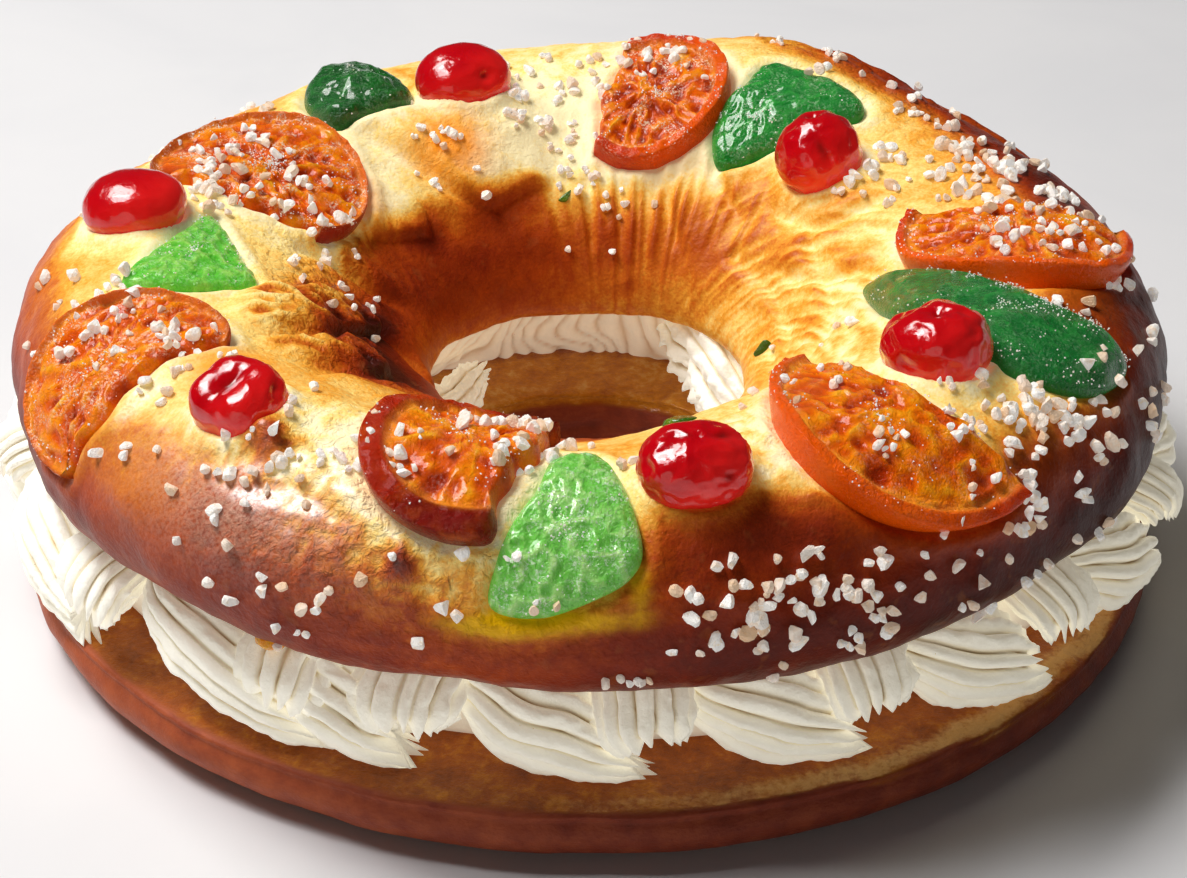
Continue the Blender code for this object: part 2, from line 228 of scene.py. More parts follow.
@dataclass(frozen=True)
class Dough:
    """The crust's form, as the CAD model has it.

    Attributes:
        front: The section at the front, as rows of (radius, height).
        back: The same section at the back.
        ridge: The number of the section's point on the ridge.
        oval: How much longer the ring is along X than along Y, as a share.
        tiny: The step along the section over which its direction is measured.
        swellings: Where the dough rises or, with a negative amount, dips.
    """

    front: tuple = (
        (84, 38), (112, 38.5), (123, 42), (128, 52), (124, 66.5), (113, 76.5), (98, 80),
        (80, 74), (61, 62), (45, 51.5), (36, 43.5), (38.5, 38.4), (58, 38),
    )
    back: tuple = (
        (84, 38), (112, 38.5), (123, 42), (127, 52), (122, 67), (111, 77), (95, 81.5),
        (76, 79.5), (57, 71.5), (43, 59), (36, 46), (38.5, 38.4), (58, 38),
    )
    ridge: int = 6
    oval: float = 0.012
    tiny: float = 0.02
    swellings: tuple = rows_of(
        Spot,
        (62, 8, 14, 22, 5.5), (241, 20, 13, 17, 2.4), (203, -28, 8, 8, 2.6),
        (188, -40, 8, 7, 2.0), (216, -38, 7, 7, 2.0), (118, -30, 11, 9, 2.6),
        (150, 6, 16, 18, -2.2), (325, -30, 12, 10, 1.6), (20, -30, 10, 9, 1.8),
        (261, -15, 11, 12, -4.5), (298, -23, 10, 10, 3.0),
    )

    def section_lengths(self) -> tuple[Array, Array]:
        """Returns positions along the section and the distance across at each."""
        count = len(self.front)
        position = np.linspace(0, count, 100 * count + 1)
        middle = smooth_curve(self.front, position, True) + smooth_curve(self.back, position, True)
        steps = np.hypot(*np.diff(middle / 2, axis=0).T)
        length = np.concatenate([[0.0], np.cumsum(steps)])
        return position, np.interp(self.ridge, position, length) - length

    def oval_scale(self, angle: Array) -> Array:
        """Returns the ring's radius at this angle, as a share of its mean radius."""
        return 1.0 + self.oval * np.cos(2 * np.radians(angle))

    def surface(self, angle: Any, across: Any, lift: Any = 0.0) -> Array:
        """Finds points on the crust or off it.

        Args:
            angle: Degrees round the ring.
            across: Millimetres along the crust from the ridge, positive outwards.
            lift: Millimetres off the crust along its normal.

        Returns:
            Points in millimetres round the ring's axis.
        """
        angle, across, lift = (np.array(each, float)
                               for each in np.broadcast_arrays(angle, across, lift))
        position = np.interp(-across, -SECTION_ACROSS, SECTION_POSITION)
        back_share = (0.5 + 0.5 * np.sin(np.radians(angle)))[..., None]

        def outline(at: Array) -> Array:
            """Returns the section's points at these positions."""
            front = smooth_curve(self.front, at, True)
            return front + (smooth_curve(self.back, at, True) - front) * back_share

        along = outline(position + self.tiny) - outline(position - self.tiny)
        normal = unit(np.stack([along[..., 1], -along[..., 0]], axis=-1))
        height = lift + total(self.swellings, angle, across)
        point = outline(position) + normal * height[..., None]
        return around(angle, point[..., 0] * self.oval_scale(angle), point[..., 1])

    def frame_at(self, angle: float, across: float) -> tuple[Array, Array]:
        """Returns the crust's normal and the direction along the ring, at one place."""
        foot = self.surface(angle, across)
        normal = unit(self.surface(angle, across, 1.0) - foot)
        along = self.surface(angle + 1, across) - self.surface(angle - 1, across)
        return normal, unit(along - normal * (along @ normal))

    def millimetres_per_degree(self, angle: float, across: float) -> float:
        """Returns the length of one degree round the ring at this place."""
        foot = self.surface(angle, across)
        return math.radians(1.0) * math.hypot(foot[0], foot[1])


DOUGH = Dough()
SECTION_POSITION, SECTION_ACROSS = DOUGH.section_lengths()


# ---- meshes


@dataclass
class Placing:
    """Where the ring's axis stands in the frame."""

    centre: Array

    def world(self, points: Array) -> Array:
        """Returns ring millimetres as metres in the frame."""
        return np.asarray(points, float) * MM + self.centre


@dataclass
class MeshSheet:
    """A mesh gathered as arrays: points in ring millimetres, faces and point values."""

    points: Array
    faces: list[Array]
    values: dict[str, Array] = field(default_factory=dict)

    @staticmethod
    def grid_faces(rows: int, columns: int, round_rows: bool, round_columns: bool) -> Array:
        """Returns the quads of a grid, closed in either direction on request."""
        row = np.arange(rows if round_rows else rows - 1)[:, None]
        column = np.arange(columns if round_columns else columns - 1)[None, :]
        after, beside = (row + 1) % rows, (column + 1) % columns
        corners = (row, column), (after, column), (after, beside), (row, beside)
        return np.stack([y * columns + x for y, x in corners], axis=-1).reshape(-1, 4)

    @staticmethod
    def fan_faces(tip: int, first: int, count: int, forward: bool) -> Array:
        """Returns the triangles from one point to a closed loop of points."""
        here = first + np.arange(count)
        after = first + (np.arange(count) + 1) % count
        ends = (here, after) if forward else (after, here)
        return np.stack([np.full(count, tip), *ends], axis=-1)

    @classmethod
    def joined(cls, sheets: Iterable["MeshSheet"]) -> "MeshSheet":
        """Returns one mesh that holds all of these."""
        sheets = list(sheets)
        points, faces, start = [], [], 0
        for sheet in sheets:
            points.append(sheet.points.reshape(-1, 3))
            faces.extend(part + start for part in sheet.faces)
            start += len(points[-1])
        values = {
            name: np.concatenate([sheet.values[name].reshape(-1) for sheet in sheets])
            for name in sheets[0].values
        }
        return cls(np.concatenate(points), faces, values)

    @classmethod
    def capped(cls, loops: Array, first: Array, last: Array,
               values: dict[str, Array]) -> "MeshSheet":
        """Returns loops of points closed by one point at either end.

        Args:
            loops: Points, as loops by points by 3.
            first: The point that closes the first loop.
            last: The point that closes the last loop.
            values: One value for each point of the loops.

        Returns:
            The closed mesh.
        """
        rows, count = loops.shape[:2]
        tip = rows * count
        faces = [
            cls.grid_faces(rows, count, False, True),
            cls.fan_faces(tip, 0, count, True),
            cls.fan_faces(tip + 1, tip - count, count, False),
        ]
        points = np.concatenate([loops.reshape(-1, 3), first[None], last[None]])
        ends = {key: [each[0].mean(), each[-1].mean()] for key, each in values.items()}
        flat = {key: np.concatenate([each.ravel(), ends[key]]) for key, each in values.items()}
        return cls(points, faces, flat)

    @classmethod
    def lid(cls, top: Array, under: Array, tip: Array, foot: Array,
            values: dict[str, Array]) -> "MeshSheet":
        """Returns a flat body: loops of points over one loop under its edge."""
        values = {key: np.concatenate([each, each[-1:]]) for key, each in values.items()}
        return cls.capped(np.concatenate([top, under[None]]), tip, foot, values)

    def volume(self) -> float:
        """Returns the volume inside the mesh, negative where it is inside out."""
        total = 0.0
        points = self.points.reshape(-1, 3)
        for part in self.faces:
            for corner in range(1, part.shape[1] - 1):
                first, second, third = (points[part[:, at]] for at in (0, corner, corner + 1))
                total += np.einsum("ij,ij->", first, np.cross(second, third)) / 6.0
        return total

    def make(self, name: str, placing: Placing, material: Material, slot: str,
             *nodes: str, smooth: bool = True) -> None:
        """Makes the piece, ties it to the frame and reports it.

        Args:
            name: The piece's name.
            placing: Where the ring stands.
            material: Its finish.
            slot: The name of the material slot that it stands for, which is only logged.
            nodes: The CAD nodes that it stands for.
            smooth: Whether its faces are shaded smooth.
        """
        way = -1 if self.volume() < 0 else 1
        faces = [face for part in self.faces for face in part[:, ::way].tolist()]
        mesh = bpy.data.meshes.new(name)
        mesh.from_pydata(placing.world(self.points.reshape(-1, 3)).tolist(), [], faces)
        mesh.polygons.foreach_set("use_smooth", np.full(len(faces), smooth))
        for key, value in self.values.items():
            layer = mesh.attributes.new(key, "FLOAT", "POINT")
            layer.data.foreach_set("value", np.asarray(value, np.float32).ravel())
        mesh.materials.append(material)
        piece = bpy.data.objects.new(name, mesh)
        bpy.context.scene.collection.objects.link(piece)
        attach(piece, "root")
        if nodes:
            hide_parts(*nodes)
        LOG.info("%s: %d faces, slot %s", name, len(faces), slot)


# ---- shader helpers


def srgb(red: int, green: int, blue: int) -> Colour:
    """Returns a colour given in 0 to 255 display steps as linear values."""
    share = np.array([red, green, blue]) / 255.0
    light = np.where(share <= 0.04045, share / 12.92, ((share + 0.055) / 1.055) ** 2.4)
    return tuple(light.tolist())


Number = Union["Value", float, int]
Stops = tuple[tuple[float, Colour], ...]
BLACK = (0.0, 0.0, 0.0)


class Value:
    """A number that varies over a surface, with ordinary arithmetic."""

    def __init__(self, shader: "Shader", socket: Socket) -> None:
        """Wraps one output socket."""
        self.shader = shader
        self.socket = socket

    def _math(self, operation: str, *values: Number) -> "Value":
        """Adds one Math node and returns its result."""
        node = self.shader.node("ShaderNodeMath", {"operation": operation}, dict(enumerate(values)))
        return Value(self.shader, node.outputs[0])

    def __add__(self, other: Number) -> "Value":
        """Returns the sum."""
        return self._math("ADD", self, other)

    __radd__ = __add__

    def __sub__(self, other: Number) -> "Value":
        """Returns the difference."""
        return self._math("SUBTRACT", self, other)

    def __rsub__(self, other: Number) -> "Value":
        """Returns the difference, from the right."""
        return self._math("SUBTRACT", other, self)

    def __mul__(self, other: Number) -> "Value":
        """Returns the product."""
        return self._math("MULTIPLY", self, other)

    __rmul__ = __mul__

    def step(self, start: float, end: float) -> "Value":
        """Returns a smooth step from 0 at start to 1 at end, either way round."""
        low, high, flip = (start, end, False) if start < end else (end, start, True)
        node = self.shader.node(
            "ShaderNodeMapRange",
            {"interpolation_type": "SMOOTHSTEP", "clamp": True},
            {"Value": self, "From Min": low, "From Max": high,
             "To Min": 1.0 if flip else 0.0, "To Max": 0.0 if flip else 1.0},
        )
        return Value(self.shader, node.outputs[0])


class Shader:
    """The node tree of one material, built with expressions."""

    def __init__(self, name: str) -> None:
        """Starts a material with one Principled BSDF."""
        self.material = bpy.data.materials.new(name)
        self.material.use_nodes = True
        self.tree = self.material.node_tree
        self.surface = self.tree.nodes["Principled BSDF"]
        coordinates = self.tree.nodes.new("ShaderNodeTexCoord")
        self.place = coordinates.outputs["Object"]

    def node(self, kind: str, settings: dict[str, Any], inputs: dict[Any, Any]) -> bpy.types.Node:
        """Adds one node.

        Args:
            kind: The node's type.
            settings: Its own settings, which are set first; "stops" fills a colour ramp.
            inputs: Socket names or numbers, and their values or links.

        Returns:
            The node.
        """
        node = self.tree.nodes.new(kind)
        for key, value in settings.items():
            if key == "stops":
                self._fill_ramp(node.color_ramp, value)
            else:
                setattr(node, key, value)
        for key, value in inputs.items():
            self._feed(node.inputs[key], value)
        return node

    @staticmethod
    def _fill_ramp(ramp: bpy.types.ColorRamp, stops: Iterable[tuple[float, Colour]]) -> None:
        """Sets a ramp's stops."""
        stops = list(stops)
        while len(ramp.elements) < len(stops):
            ramp.elements.new(0.5)
        for element, (position, colour) in zip(ramp.elements, stops):
            element.position = position
            element.color = (*colour, 1.0)

    def _feed(self, socket: Socket, value: Any) -> None:
        """Links a socket, or sets its value."""
        if isinstance(value, Value):
            value = value.socket
        if isinstance(value, Socket):
            self.tree.links.new(value, socket)
        elif isinstance(value, tuple) and len(value) == 3 and socket.type == "RGBA":
            socket.default_value = (*value, 1.0)
        else:
            socket.default_value = value

    def attribute(self, name: str) -> Value:
        """Returns a value stored on the mesh's points."""
        node = self.node("ShaderNodeAttribute", {"attribute_name": name}, {})
        return Value(self, node.outputs["Fac"])

    def stretched(self, x: float, y: float, z: float) -> Socket:
        """Returns the place, stretched by these factors along each axis."""
        node = self.node("ShaderNodeVectorMath", {"operation": "MULTIPLY"},
                         {0: self.place, 1: (x, y, z)})
        return node.outputs[0]

    def grain(self, size_mm: float, detail: float = 3.0, roughness: float = 0.55,
              place: Socket | None = None, twist: float = 0.0) -> Value:
        """Returns soft random variation, from about 0.2 to 0.8, of this width."""
        node = self.node(
            "ShaderNodeTexNoise", {},
            {"Vector": place or self.place, "Scale": 1.0 / (size_mm * MM), "Detail": detail,
             "Roughness": roughness, "Distortion": twist},
        )
        return Value(self, node.outputs["Fac"])

    def cells(self, size_mm: float) -> Value:
        """Returns the distance to the nearest of many scattered points, in cell widths."""
        node = self.node("ShaderNodeTexVoronoi", {},
                         {"Vector": self.place, "Scale": 1.0 / (size_mm * MM)})
        return Value(self, node.outputs["Distance"])

    def ramp(self, value: Value, stops: Iterable[tuple[float, Colour]]) -> Socket:
        """Returns a colour read from a row of colours."""
        node = self.node("ShaderNodeValToRGB", {"stops": stops}, {"Fac": value})
        return node.outputs["Color"]

    def mix(self, share: Number, first: Any, second: Any) -> Socket:
        """Returns the first colour, turned into the second by the share."""
        node = self.node("ShaderNodeMix", {"data_type": "RGBA"}, {0: share, 6: first, 7: second})
        return node.outputs[2]

    def bump(self, height: Value, depth_mm: float) -> Socket:
        """Returns a normal that stands for relief of this depth."""
        node = self.node("ShaderNodeBump", {}, {"Height": height, "Distance": depth_mm * MM})
        return node.outputs["Normal"]

    def finished(self, **sockets: Any) -> Material:
        """Feeds sockets of the surface, their spaces as underscores, and returns the material."""
        for key, value in sockets.items():
            self._feed(self.surface.inputs[key.replace("_", " ")], value)
        return self.material


# ---- finishes


@dataclass(frozen=True)
class CrustFinish:
    """Egg-washed crust, from pale stretched dough to deep brown, with a painted sheen, a painted glow
    in its pale parts and painted orange light beside the slices.
    """

    stops: Stops = (
        (0.00, srgb(255, 241, 190)),
        (0.15, srgb(255, 220, 128)),
        (0.30, srgb(245, 170, 58)),
        (0.45, srgb(216, 112, 28)),
        (0.60, srgb(184, 72, 16)),
        (0.75, srgb(146, 46, 14)),
        (0.88, srgb(108, 32, 14)),
        (1.00, srgb(72, 24, 16)),
    )
    syrup_and_glow: Colour = srgb(252, 150, 22)
    stain: Colour = srgb(252, 190, 0)
    blister: Colour = srgb(190, 105, 50)
    painted_sheen_colour: Colour = srgb(250, 206, 176)
    roughness: float = 0.34
    painted_glow: float = 0.16
    relief_mm: float = 0.42

    def build(self) -> Material:
        """Returns the material."""
        shader = Shader("crust")
        browning = shader.attribute("browning")
        blotches = shader.grain(9.0, 4.0) - 0.5
        mottle = shader.grain(2.2, 3.0) - 0.5
        freckles = shader.grain(0.7, 2.0) - 0.5
        fine = (mottle + freckles) * 0.24
        tone = browning + blotches * 0.30 + fine * (1.0 - browning.step(0.3, 0.9) * 0.7)
        colour = shader.ramp(tone, self.stops)
        # Amber syrup, which also stands as painted orange light from the slices beside it.
        amber = shader.attribute("amber") * (shader.grain(4.0) * 0.8 + 0.6)
        colour = shader.mix(amber.step(0.0, 1.0), colour, self.syrup_and_glow)
        stain = shader.attribute("stain") * (shader.grain(3.0) * 1.4 + 0.2)
        colour = shader.mix(stain.step(0.05, 1.1), colour, self.stain)
        blister = shader.grain(4.5, 2.0).step(0.60, 0.72) * browning.step(0.35, 0.8)
        colour = shader.mix(blister * 0.25, colour, self.blister)
        skin = shader.grain(0.8, 3.0, 0.6)
        # Painted highlight: a pale, grainy sheen mixed into the colour where the lamps gleam.
        haze = shader.attribute("haze") * (skin.step(0.30, 0.62) * 0.75 + 0.25)
        colour = shader.mix(haze * 0.40, colour, self.painted_sheen_colour)
        creased = shader.grain(4.5, 3.0, twist=0.8)
        bumpy = shader.attribute("bumpy") * shader.grain(2.2, 3.0, 0.55, twist=0.5)
        relief = skin * 0.42 + creased * 0.9 + bumpy * 4.4
        return shader.finished(
            Base_Color=colour,
            Roughness=shader.grain(3.0) * 0.16 + self.roughness,
            Specular_IOR_Level=0.12,
            Coat_Weight=shader.attribute("shine") * (skin * 2.6 - 0.4),
            Coat_Roughness=0.32,
            Coat_IOR=1.8,
            # Painted glow: the paler dough gives off its own colour.
            Emission_Color=shader.mix(browning.step(0.12, 0.5), colour, BLACK),
            Emission_Strength=self.painted_glow,
            Normal=shader.bump(relief, self.relief_mm),
        )


@dataclass(frozen=True)
class BottomFinish:
    """The bottom bun: brown crust below, with painted light at the left, and moist amber crumb on the
    cut face.
    """

    crust: Stops = (
        (0.0, srgb(186, 92, 52)),
        (0.5, srgb(140, 58, 36)),
        (1.0, srgb(88, 34, 26)),
    )
    crumb: Stops = (
        (0.0, srgb(112, 44, 0)),
        (0.40, srgb(176, 88, 2)),
        (0.72, srgb(222, 142, 26)),
        (1.0, srgb(248, 208, 130)),
    )
    torn: Colour = srgb(236, 184, 112)
    relief_mm: float = 0.55

    def build(self) -> Material:
        """Returns the material."""
        shader = Shader("bottom_bun")
        cut = shader.attribute("cut")
        edge = shader.attribute("edge")
        mottle = shader.grain(6.0, 4.0)
        fibres = shader.grain(1.6, 5.0, 0.65, shader.stretched(1.0, 1.0, 2.4))
        # Painted light: the crust is paler at the left, where the key lamp falls on it.
        tone = mottle * 0.9 + fibres * 0.35 - 0.12 - shader.attribute("pale")
        crust = shader.ramp(tone, self.crust)
        light = shader.attribute("deep") * 0.3 + edge * 0.2
        crumb = shader.ramp(mottle * 0.8 + fibres * 0.6 + light - 0.34, self.crumb)
        colour = shader.mix(cut, crust, crumb)
        torn = (edge * (fibres * 1.6 + 0.1)).step(0.25, 0.85)
        colour = shader.mix(torn * 0.8, colour, self.torn)
        relief = fibres * (cut * 1.1 + 0.35) + shader.grain(0.6, 3.0) * 0.3
        return shader.finished(
            Base_Color=colour,
            Roughness=shader.grain(4.0) * 0.3 + 0.30,
            Specular_IOR_Level=0.2,
            Coat_Weight=cut * 0.2,
            Coat_Roughness=0.12,
            Normal=shader.bump(relief, self.relief_mm),
        )


@dataclass(frozen=True)
class CreamFinish:
    """Whipped cream: ivory, soft, with vanilla specks, painted shade in its valleys and a painted
    glow.
    """

    ivory: Colour = srgb(255, 254, 247)
    soft_valley_shade: Colour = srgb(250, 234, 196)
    valley: Colour = srgb(214, 178, 120)
    shade: Colour = srgb(224, 164, 84)
    speck: Colour = srgb(120, 112, 104)
    glow_crest: Colour = srgb(255, 244, 214)
    glow_valley: Colour = srgb(110, 84, 50)
    painted_glow: float = 0.29
    relief_mm: float = 0.3

    def build(self) -> Material:
        """Returns the material."""
        shader = Shader("cream")
        valley = shader.attribute("valley")
        # Painted shade: the cream turns beige down the ridges' sides and tan in the valleys.
        colour = shader.mix(valley.step(0.25, 0.8), self.ivory, self.soft_valley_shade)
        colour = shader.mix(valley.step(0.6, 1.0) * 0.8, colour, self.valley)
        colour = shader.mix(shader.attribute("shade"), colour, self.shade)
        specks = shader.cells(2.6).step(0.085, 0.045) * shader.grain(5.0).step(0.45, 0.62)
        colour = shader.mix(specks * 0.75, colour, self.speck)
        relief = shader.grain(1.1, 4.0, 0.6) + shader.grain(0.35, 2.0) * 0.25
        return shader.finished(
            Base_Color=colour,
            Roughness=0.42,
            Specular_IOR_Level=0.3,
            # Painted glow: the cream gives off light, brighter on the crests and dimmer in the
            # valleys.
            Emission_Color=shader.mix(valley.step(0.15, 0.9), self.glow_crest, self.glow_valley),
            Emission_Strength=self.painted_glow,
            Normal=shader.bump(relief, self.relief_mm),
        )


@dataclass(frozen=True)
class CherryFinish:
    """Candied cherry: clear deep red under a wet glaze, with painted light through it and a painted
    glow.
    """

    deep: Colour = srgb(186, 0, 14)
    painted_backlit_red: Colour = srgb(255, 40, 36)
    scar: Colour = srgb(120, 20, 14)
    painted_glow: float = 0.11
    relief_mm: float = 0.25

    def build(self) -> Material:
        """Returns the material."""
        shader = Shader("cherry")
        clouds = shader.grain(7.0, 2.0)
        # Painted light: brighter red on the side away from the key lamp, as if light shone through.
        lit = shader.attribute("lit") + (clouds - 0.5) * 0.35
        colour = shader.mix(lit.step(0.05, 0.95), self.deep, self.painted_backlit_red)
        # Darker red in the middle of each dent.
        colour = shader.mix(shader.attribute("scar") * 0.7, colour, self.scar)
        relief = shader.grain(2.4, 3.0) + shader.grain(0.7, 2.0) * 0.2
        return shader.finished(
            Base_Color=colour,
            Roughness=0.16,
            IOR=1.36,
            Subsurface_Weight=0.45,
            Subsurface_Radius=(1.0, 0.05, 0.04),
            Subsurface_Scale=0.006,
            Coat_Weight=0.75,
            Coat_Roughness=0.04,
            # Painted glow: the cherry gives off its own red.
            Emission_Color=colour,
            Emission_Strength=self.painted_glow,
            Normal=shader.bump(relief, self.relief_mm),
        )


class GreenTone(Enum):
    """How light a piece of green fruit is."""

    DARK = (srgb(2, 88, 20), srgb(24, 128, 32))
    DEEP = (srgb(4, 112, 36), srgb(40, 156, 56))
    MIDDLE = (srgb(8, 134, 38), srgb(44, 174, 54))
    OLIVE = (srgb(56, 98, 6), srgb(132, 160, 20))
    LIGHT = (srgb(96, 206, 52), srgb(184, 240, 112))
    FROSTED = (srgb(116, 206, 76), srgb(206, 244, 156))


@dataclass(frozen=True)
class GreenFinish:
    """Candied green fruit: clear, with a fine sugar bloom and a painted glow."""

    tone: GreenTone
    bloom: float
    frost: Colour = srgb(226, 244, 214)
    painted_glow: float = 0.12
    relief_mm: float = 0.6

    def build(self) -> Material:
        """Returns the material."""
        shader = Shader("green_" + self.tone.name.lower())
        dark, light = self.tone.value
        edge = shader.attribute("edge")
        clouds = shader.grain(5.0, 3.0)
        tone = (clouds - 0.5) * 0.9 + shader.attribute("high") * 0.5 - edge * 0.15
        colour = shader.mix(tone.step(-0.25, 0.65), dark, light)
        crystals = shader.grain(0.6, 3.0, 0.7)
        frost = crystals.step(0.48, 0.66) * shader.attribute("top")
        frost = frost * shader.grain(4.0).step(0.38, 0.62)
        colour = shader.mix(frost * self.bloom, colour, self.frost)
        relief = shader.grain(1.2, 3.0, 0.6, twist=0.8) * 1.8 + crystals * 0.6
        return shader.finished(
            Base_Color=colour,
            Roughness=crystals.step(0.5, 0.8) * 0.18 + 0.10,
            IOR=1.42,
            Subsurface_Weight=0.35,
            Subsurface_Radius=(0.16, 1.0, 0.22),
            Subsurface_Scale=0.004,
            Coat_Weight=shader.attribute("top") * 0.7 + 0.05,
            Coat_Roughness=0.06,
            # Painted glow: the fruit gives off its own colour.
            Emission_Color=colour,
            Emission_Strength=self.painted_glow,
            Normal=shader.bump(relief, self.relief_mm),
        )


class RindTone(Enum):
    """The rind's colour, at its side and at its ends."""

    ORANGE = (srgb(240, 88, 2), srgb(214, 58, 8))
    RED = (srgb(176, 34, 0), srgb(126, 10, 0))
    PINK = (srgb(226, 92, 36), srgb(158, 34, 18))


@dataclass(frozen=True)
class OrangeFinish:
    """Candied orange: clear amber pulp with membranes, a glossy rind and a painted glow."""

    rind: RindTone
    pulp: Stops = (
        (0.0, srgb(168, 44, 0)),
        (0.28, srgb(226, 86, 0)),
        (0.58, srgb(252, 140, 4)),
        (1.0, srgb(255, 206, 50)),
    )
    bloom: float = 0.3
    peel: Colour = srgb(246, 120, 30)
    pith: Colour = srgb(250, 166, 60)
    frost: Colour = srgb(255, 232, 200)
    painted_glow: float = 0.10
    relief_mm: float = 0.5

    def build(self) -> Material:
        """Returns the material."""
        shader = Shader("orange_" + self.rind.name.lower())
        side, ends = self.rind.value
        clouds = shader.grain(6.0, 3.0)
        fibres = shader.grain(1.1, 3.0, 0.6, twist=1.0)
        tone = clouds * 0.7 + shader.attribute("high") * 0.45 + 0.02
        tone = tone + shader.attribute("membrane") * 0.15
        pulp = shader.ramp(tone, self.pulp)
        rind = shader.mix(shader.attribute("blush"), side, ends)
        rind = shader.mix(clouds.step(0.45, 0.75) * 0.3, rind, self.peel)
        colour = shader.mix(shader.attribute("rind"), pulp, rind)
        colour = shader.mix(shader.attribute("pith") * 0.4, colour, self.pith)
        crystals = shader.grain(0.6, 3.0, 0.7)
        patches = shader.grain(5.0).step(0.46, 0.66) * shader.attribute("top")
        frost = crystals.step(0.48, 0.62) * patches
        colour = shader.mix(frost * self.bloom, colour, self.frost)
        return shader.finished(
            Base_Color=colour,
            Roughness=crystals.step(0.5, 0.8) * 0.2 + 0.07,
            IOR=1.22,
            Subsurface_Weight=0.12,
            Subsurface_Radius=(1.0, 0.5, 0.1),
            Subsurface_Scale=0.005,
            Coat_Weight=shader.attribute("top") * (shader.attribute("rind") * -0.18 + 0.34),
            Coat_Roughness=0.04,
            # Painted glow: the slice gives off its own colour.
            Emission_Color=colour,
            Emission_Strength=self.painted_glow,
            Normal=shader.bump(fibres * 1.8 + crystals * 0.6, self.relief_mm),
        )


@dataclass(frozen=True)
class SugarFinish:
    """Coarse sugar: white, with clear patches."""

    white: Colour = srgb(255, 253, 248)
    clear: Colour = srgb(240, 206, 164)
    baked: Colour = srgb(226, 176, 118)
    painted_glow: float = 0.21
    relief_mm: float = 0.4

    def build(self) -> Material:
        """Returns the material."""
        shader = Shader("sugar")
        clouds = shader.grain(1.5, 3.0)
        colour = shader.mix(clouds.step(0.46, 0.70) * 0.55, self.white, self.clear)
        colour = shader.mix(shader.attribute("baked"), colour, self.baked)
        relief = shader.grain(0.45, 3.0, 0.65)
        return shader.finished(
            Base_Color=colour,
            Roughness=0.22,
            IOR=1.5,
            # Painted glow: the grains give off their own colour, so they stay bright in shade.
            Emission_Color=colour,
            Emission_Strength=self.painted_glow,
            Normal=shader.bump(relief, self.relief_mm),
        )


@dataclass(frozen=True)
class FloorFinish:
    """A pale, smooth table top with the faintest grey clouds."""

    white: Colour = srgb(238, 237, 238)
    grey: Colour = srgb(226, 226, 229)

    def build(self) -> Material:
        """Returns the material."""
        shader = Shader("floor")
        clouds = shader.grain(120.0, 4.0, twist=0.8)
        colour = shader.mix(clouds.step(0.35, 0.75) * 0.5, self.white, self.grey)
        return shader.finished(Base_Color=colour, Roughness=0.55, Specular_IOR_Level=0.3)


# ---- places on the crust


@dataclass(frozen=True)
class Outline:
    """A closed outline on the crust, round a middle: rows of (angle, across)."""

    points: Array
    middle: Array
    degree: float

    @classmethod
    def through(cls, points: Array) -> "Outline":
        """Returns the outline through these points."""
        middle = points.mean(axis=0)
        return cls(points, middle, DOUGH.millimetres_per_degree(*middle))

    @classmethod
    def smooth(cls, corners: tuple, steps: int) -> "Outline":
        """Returns the smooth outline past these corners, in so many steps."""
        return cls.through(smooth_curve(corners, np.arange(steps) * len(corners) / steps, True))

    def polar(self, angle: Array, across: Array) -> tuple[Array, Array]:
        """Returns the direction and the distance of places from the middle."""
        x = turn_between(angle, self.middle[0]) * self.degree
        y = across - self.middle[1]
        return np.degrees(np.arctan2(y, x)), np.hypot(x, y)

    def gap(self, angle: Array, across: Array) -> Array:
        """Returns about how far places are outside the outline, in millimetres."""
        direction, distance = self.polar(self.points[:, 0], self.points[:, 1])
        order = np.argsort(direction)
        here, away = self.polar(angle, across)
        return away - np.interp(here, direction[order], distance[order], period=TURN)

    def scaled(self, share: float) -> Array:
        """Returns the outline drawn in towards the middle."""
        return self.middle + (self.points - self.middle) * share


@dataclass(frozen=True)
class Fold:
    """A crease in the dough along a line of (angle, across), with a swollen side.

    The dough left of the line stands up by rise, or right of it where rise is negative,
    and falls away over reach.
    """

    line: tuple
    depth: float
    width: float
    rise: float = 0.0
    reach: float = 6.0

    def near(self, points: Array, normals: Array) -> tuple[Array, Array, Array]:
        """Measures places against the line.

        Args:
            points: Places on the crust, in millimetres.
            normals: The crust's normals there.

        Returns:
            The distance to the line, the side as -1 or 1, and the share along it.
        """
        knots = smooth_curve(self.line, np.linspace(0, len(self.line) - 1, 8 * len(self.line)),
                             False)
        track = DOUGH.surface(knots[:, 0], knots[:, 1])
        start, step = track[:-1], np.diff(track, axis=0)
        offset = points[:, None] - start
        part = np.clip((offset * step).sum(axis=2) / (step**2).sum(axis=1), 0.0, 1.0)
        away = offset - part[..., None] * step
        length = np.linalg.norm(away, axis=2)
        stretch = length.argmin(axis=1)
        nearest = np.arange(len(points)), stretch
        turned = np.einsum("ij,ij->i", np.cross(step[stretch], away[nearest]), normals)
        return length[nearest], np.sign(turned), (stretch + part[nearest]) / len(step)

    def height(self, points: Array, normals: Array) -> Array:
        """Returns the relief that the fold adds."""
        result = np.zeros(len(points))
        ends = DOUGH.surface(*np.asarray(self.line, float).T)
        middle = (ends.min(axis=0) + ends.max(axis=0)) / 2
        radius = np.linalg.norm(ends - middle, axis=1).max() + 3 * self.width + 2.5 * self.reach
        close = np.linalg.norm(points - middle, axis=1) < radius
        distance, side, share = self.near(points[close], normals[close])
        taper = ease(share, 0.0, 0.22) * ease(1.0 - share, 0.0, 0.22)
        swell = (1.0 - bell(distance, self.width)) * np.exp(-((distance / self.reach) ** 2))
        swell = swell * (side * math.copysign(1.0, self.rise) > 0)
        result[close] = taper * (abs(self.rise) * swell - self.depth * bell(distance, self.width))
        return result


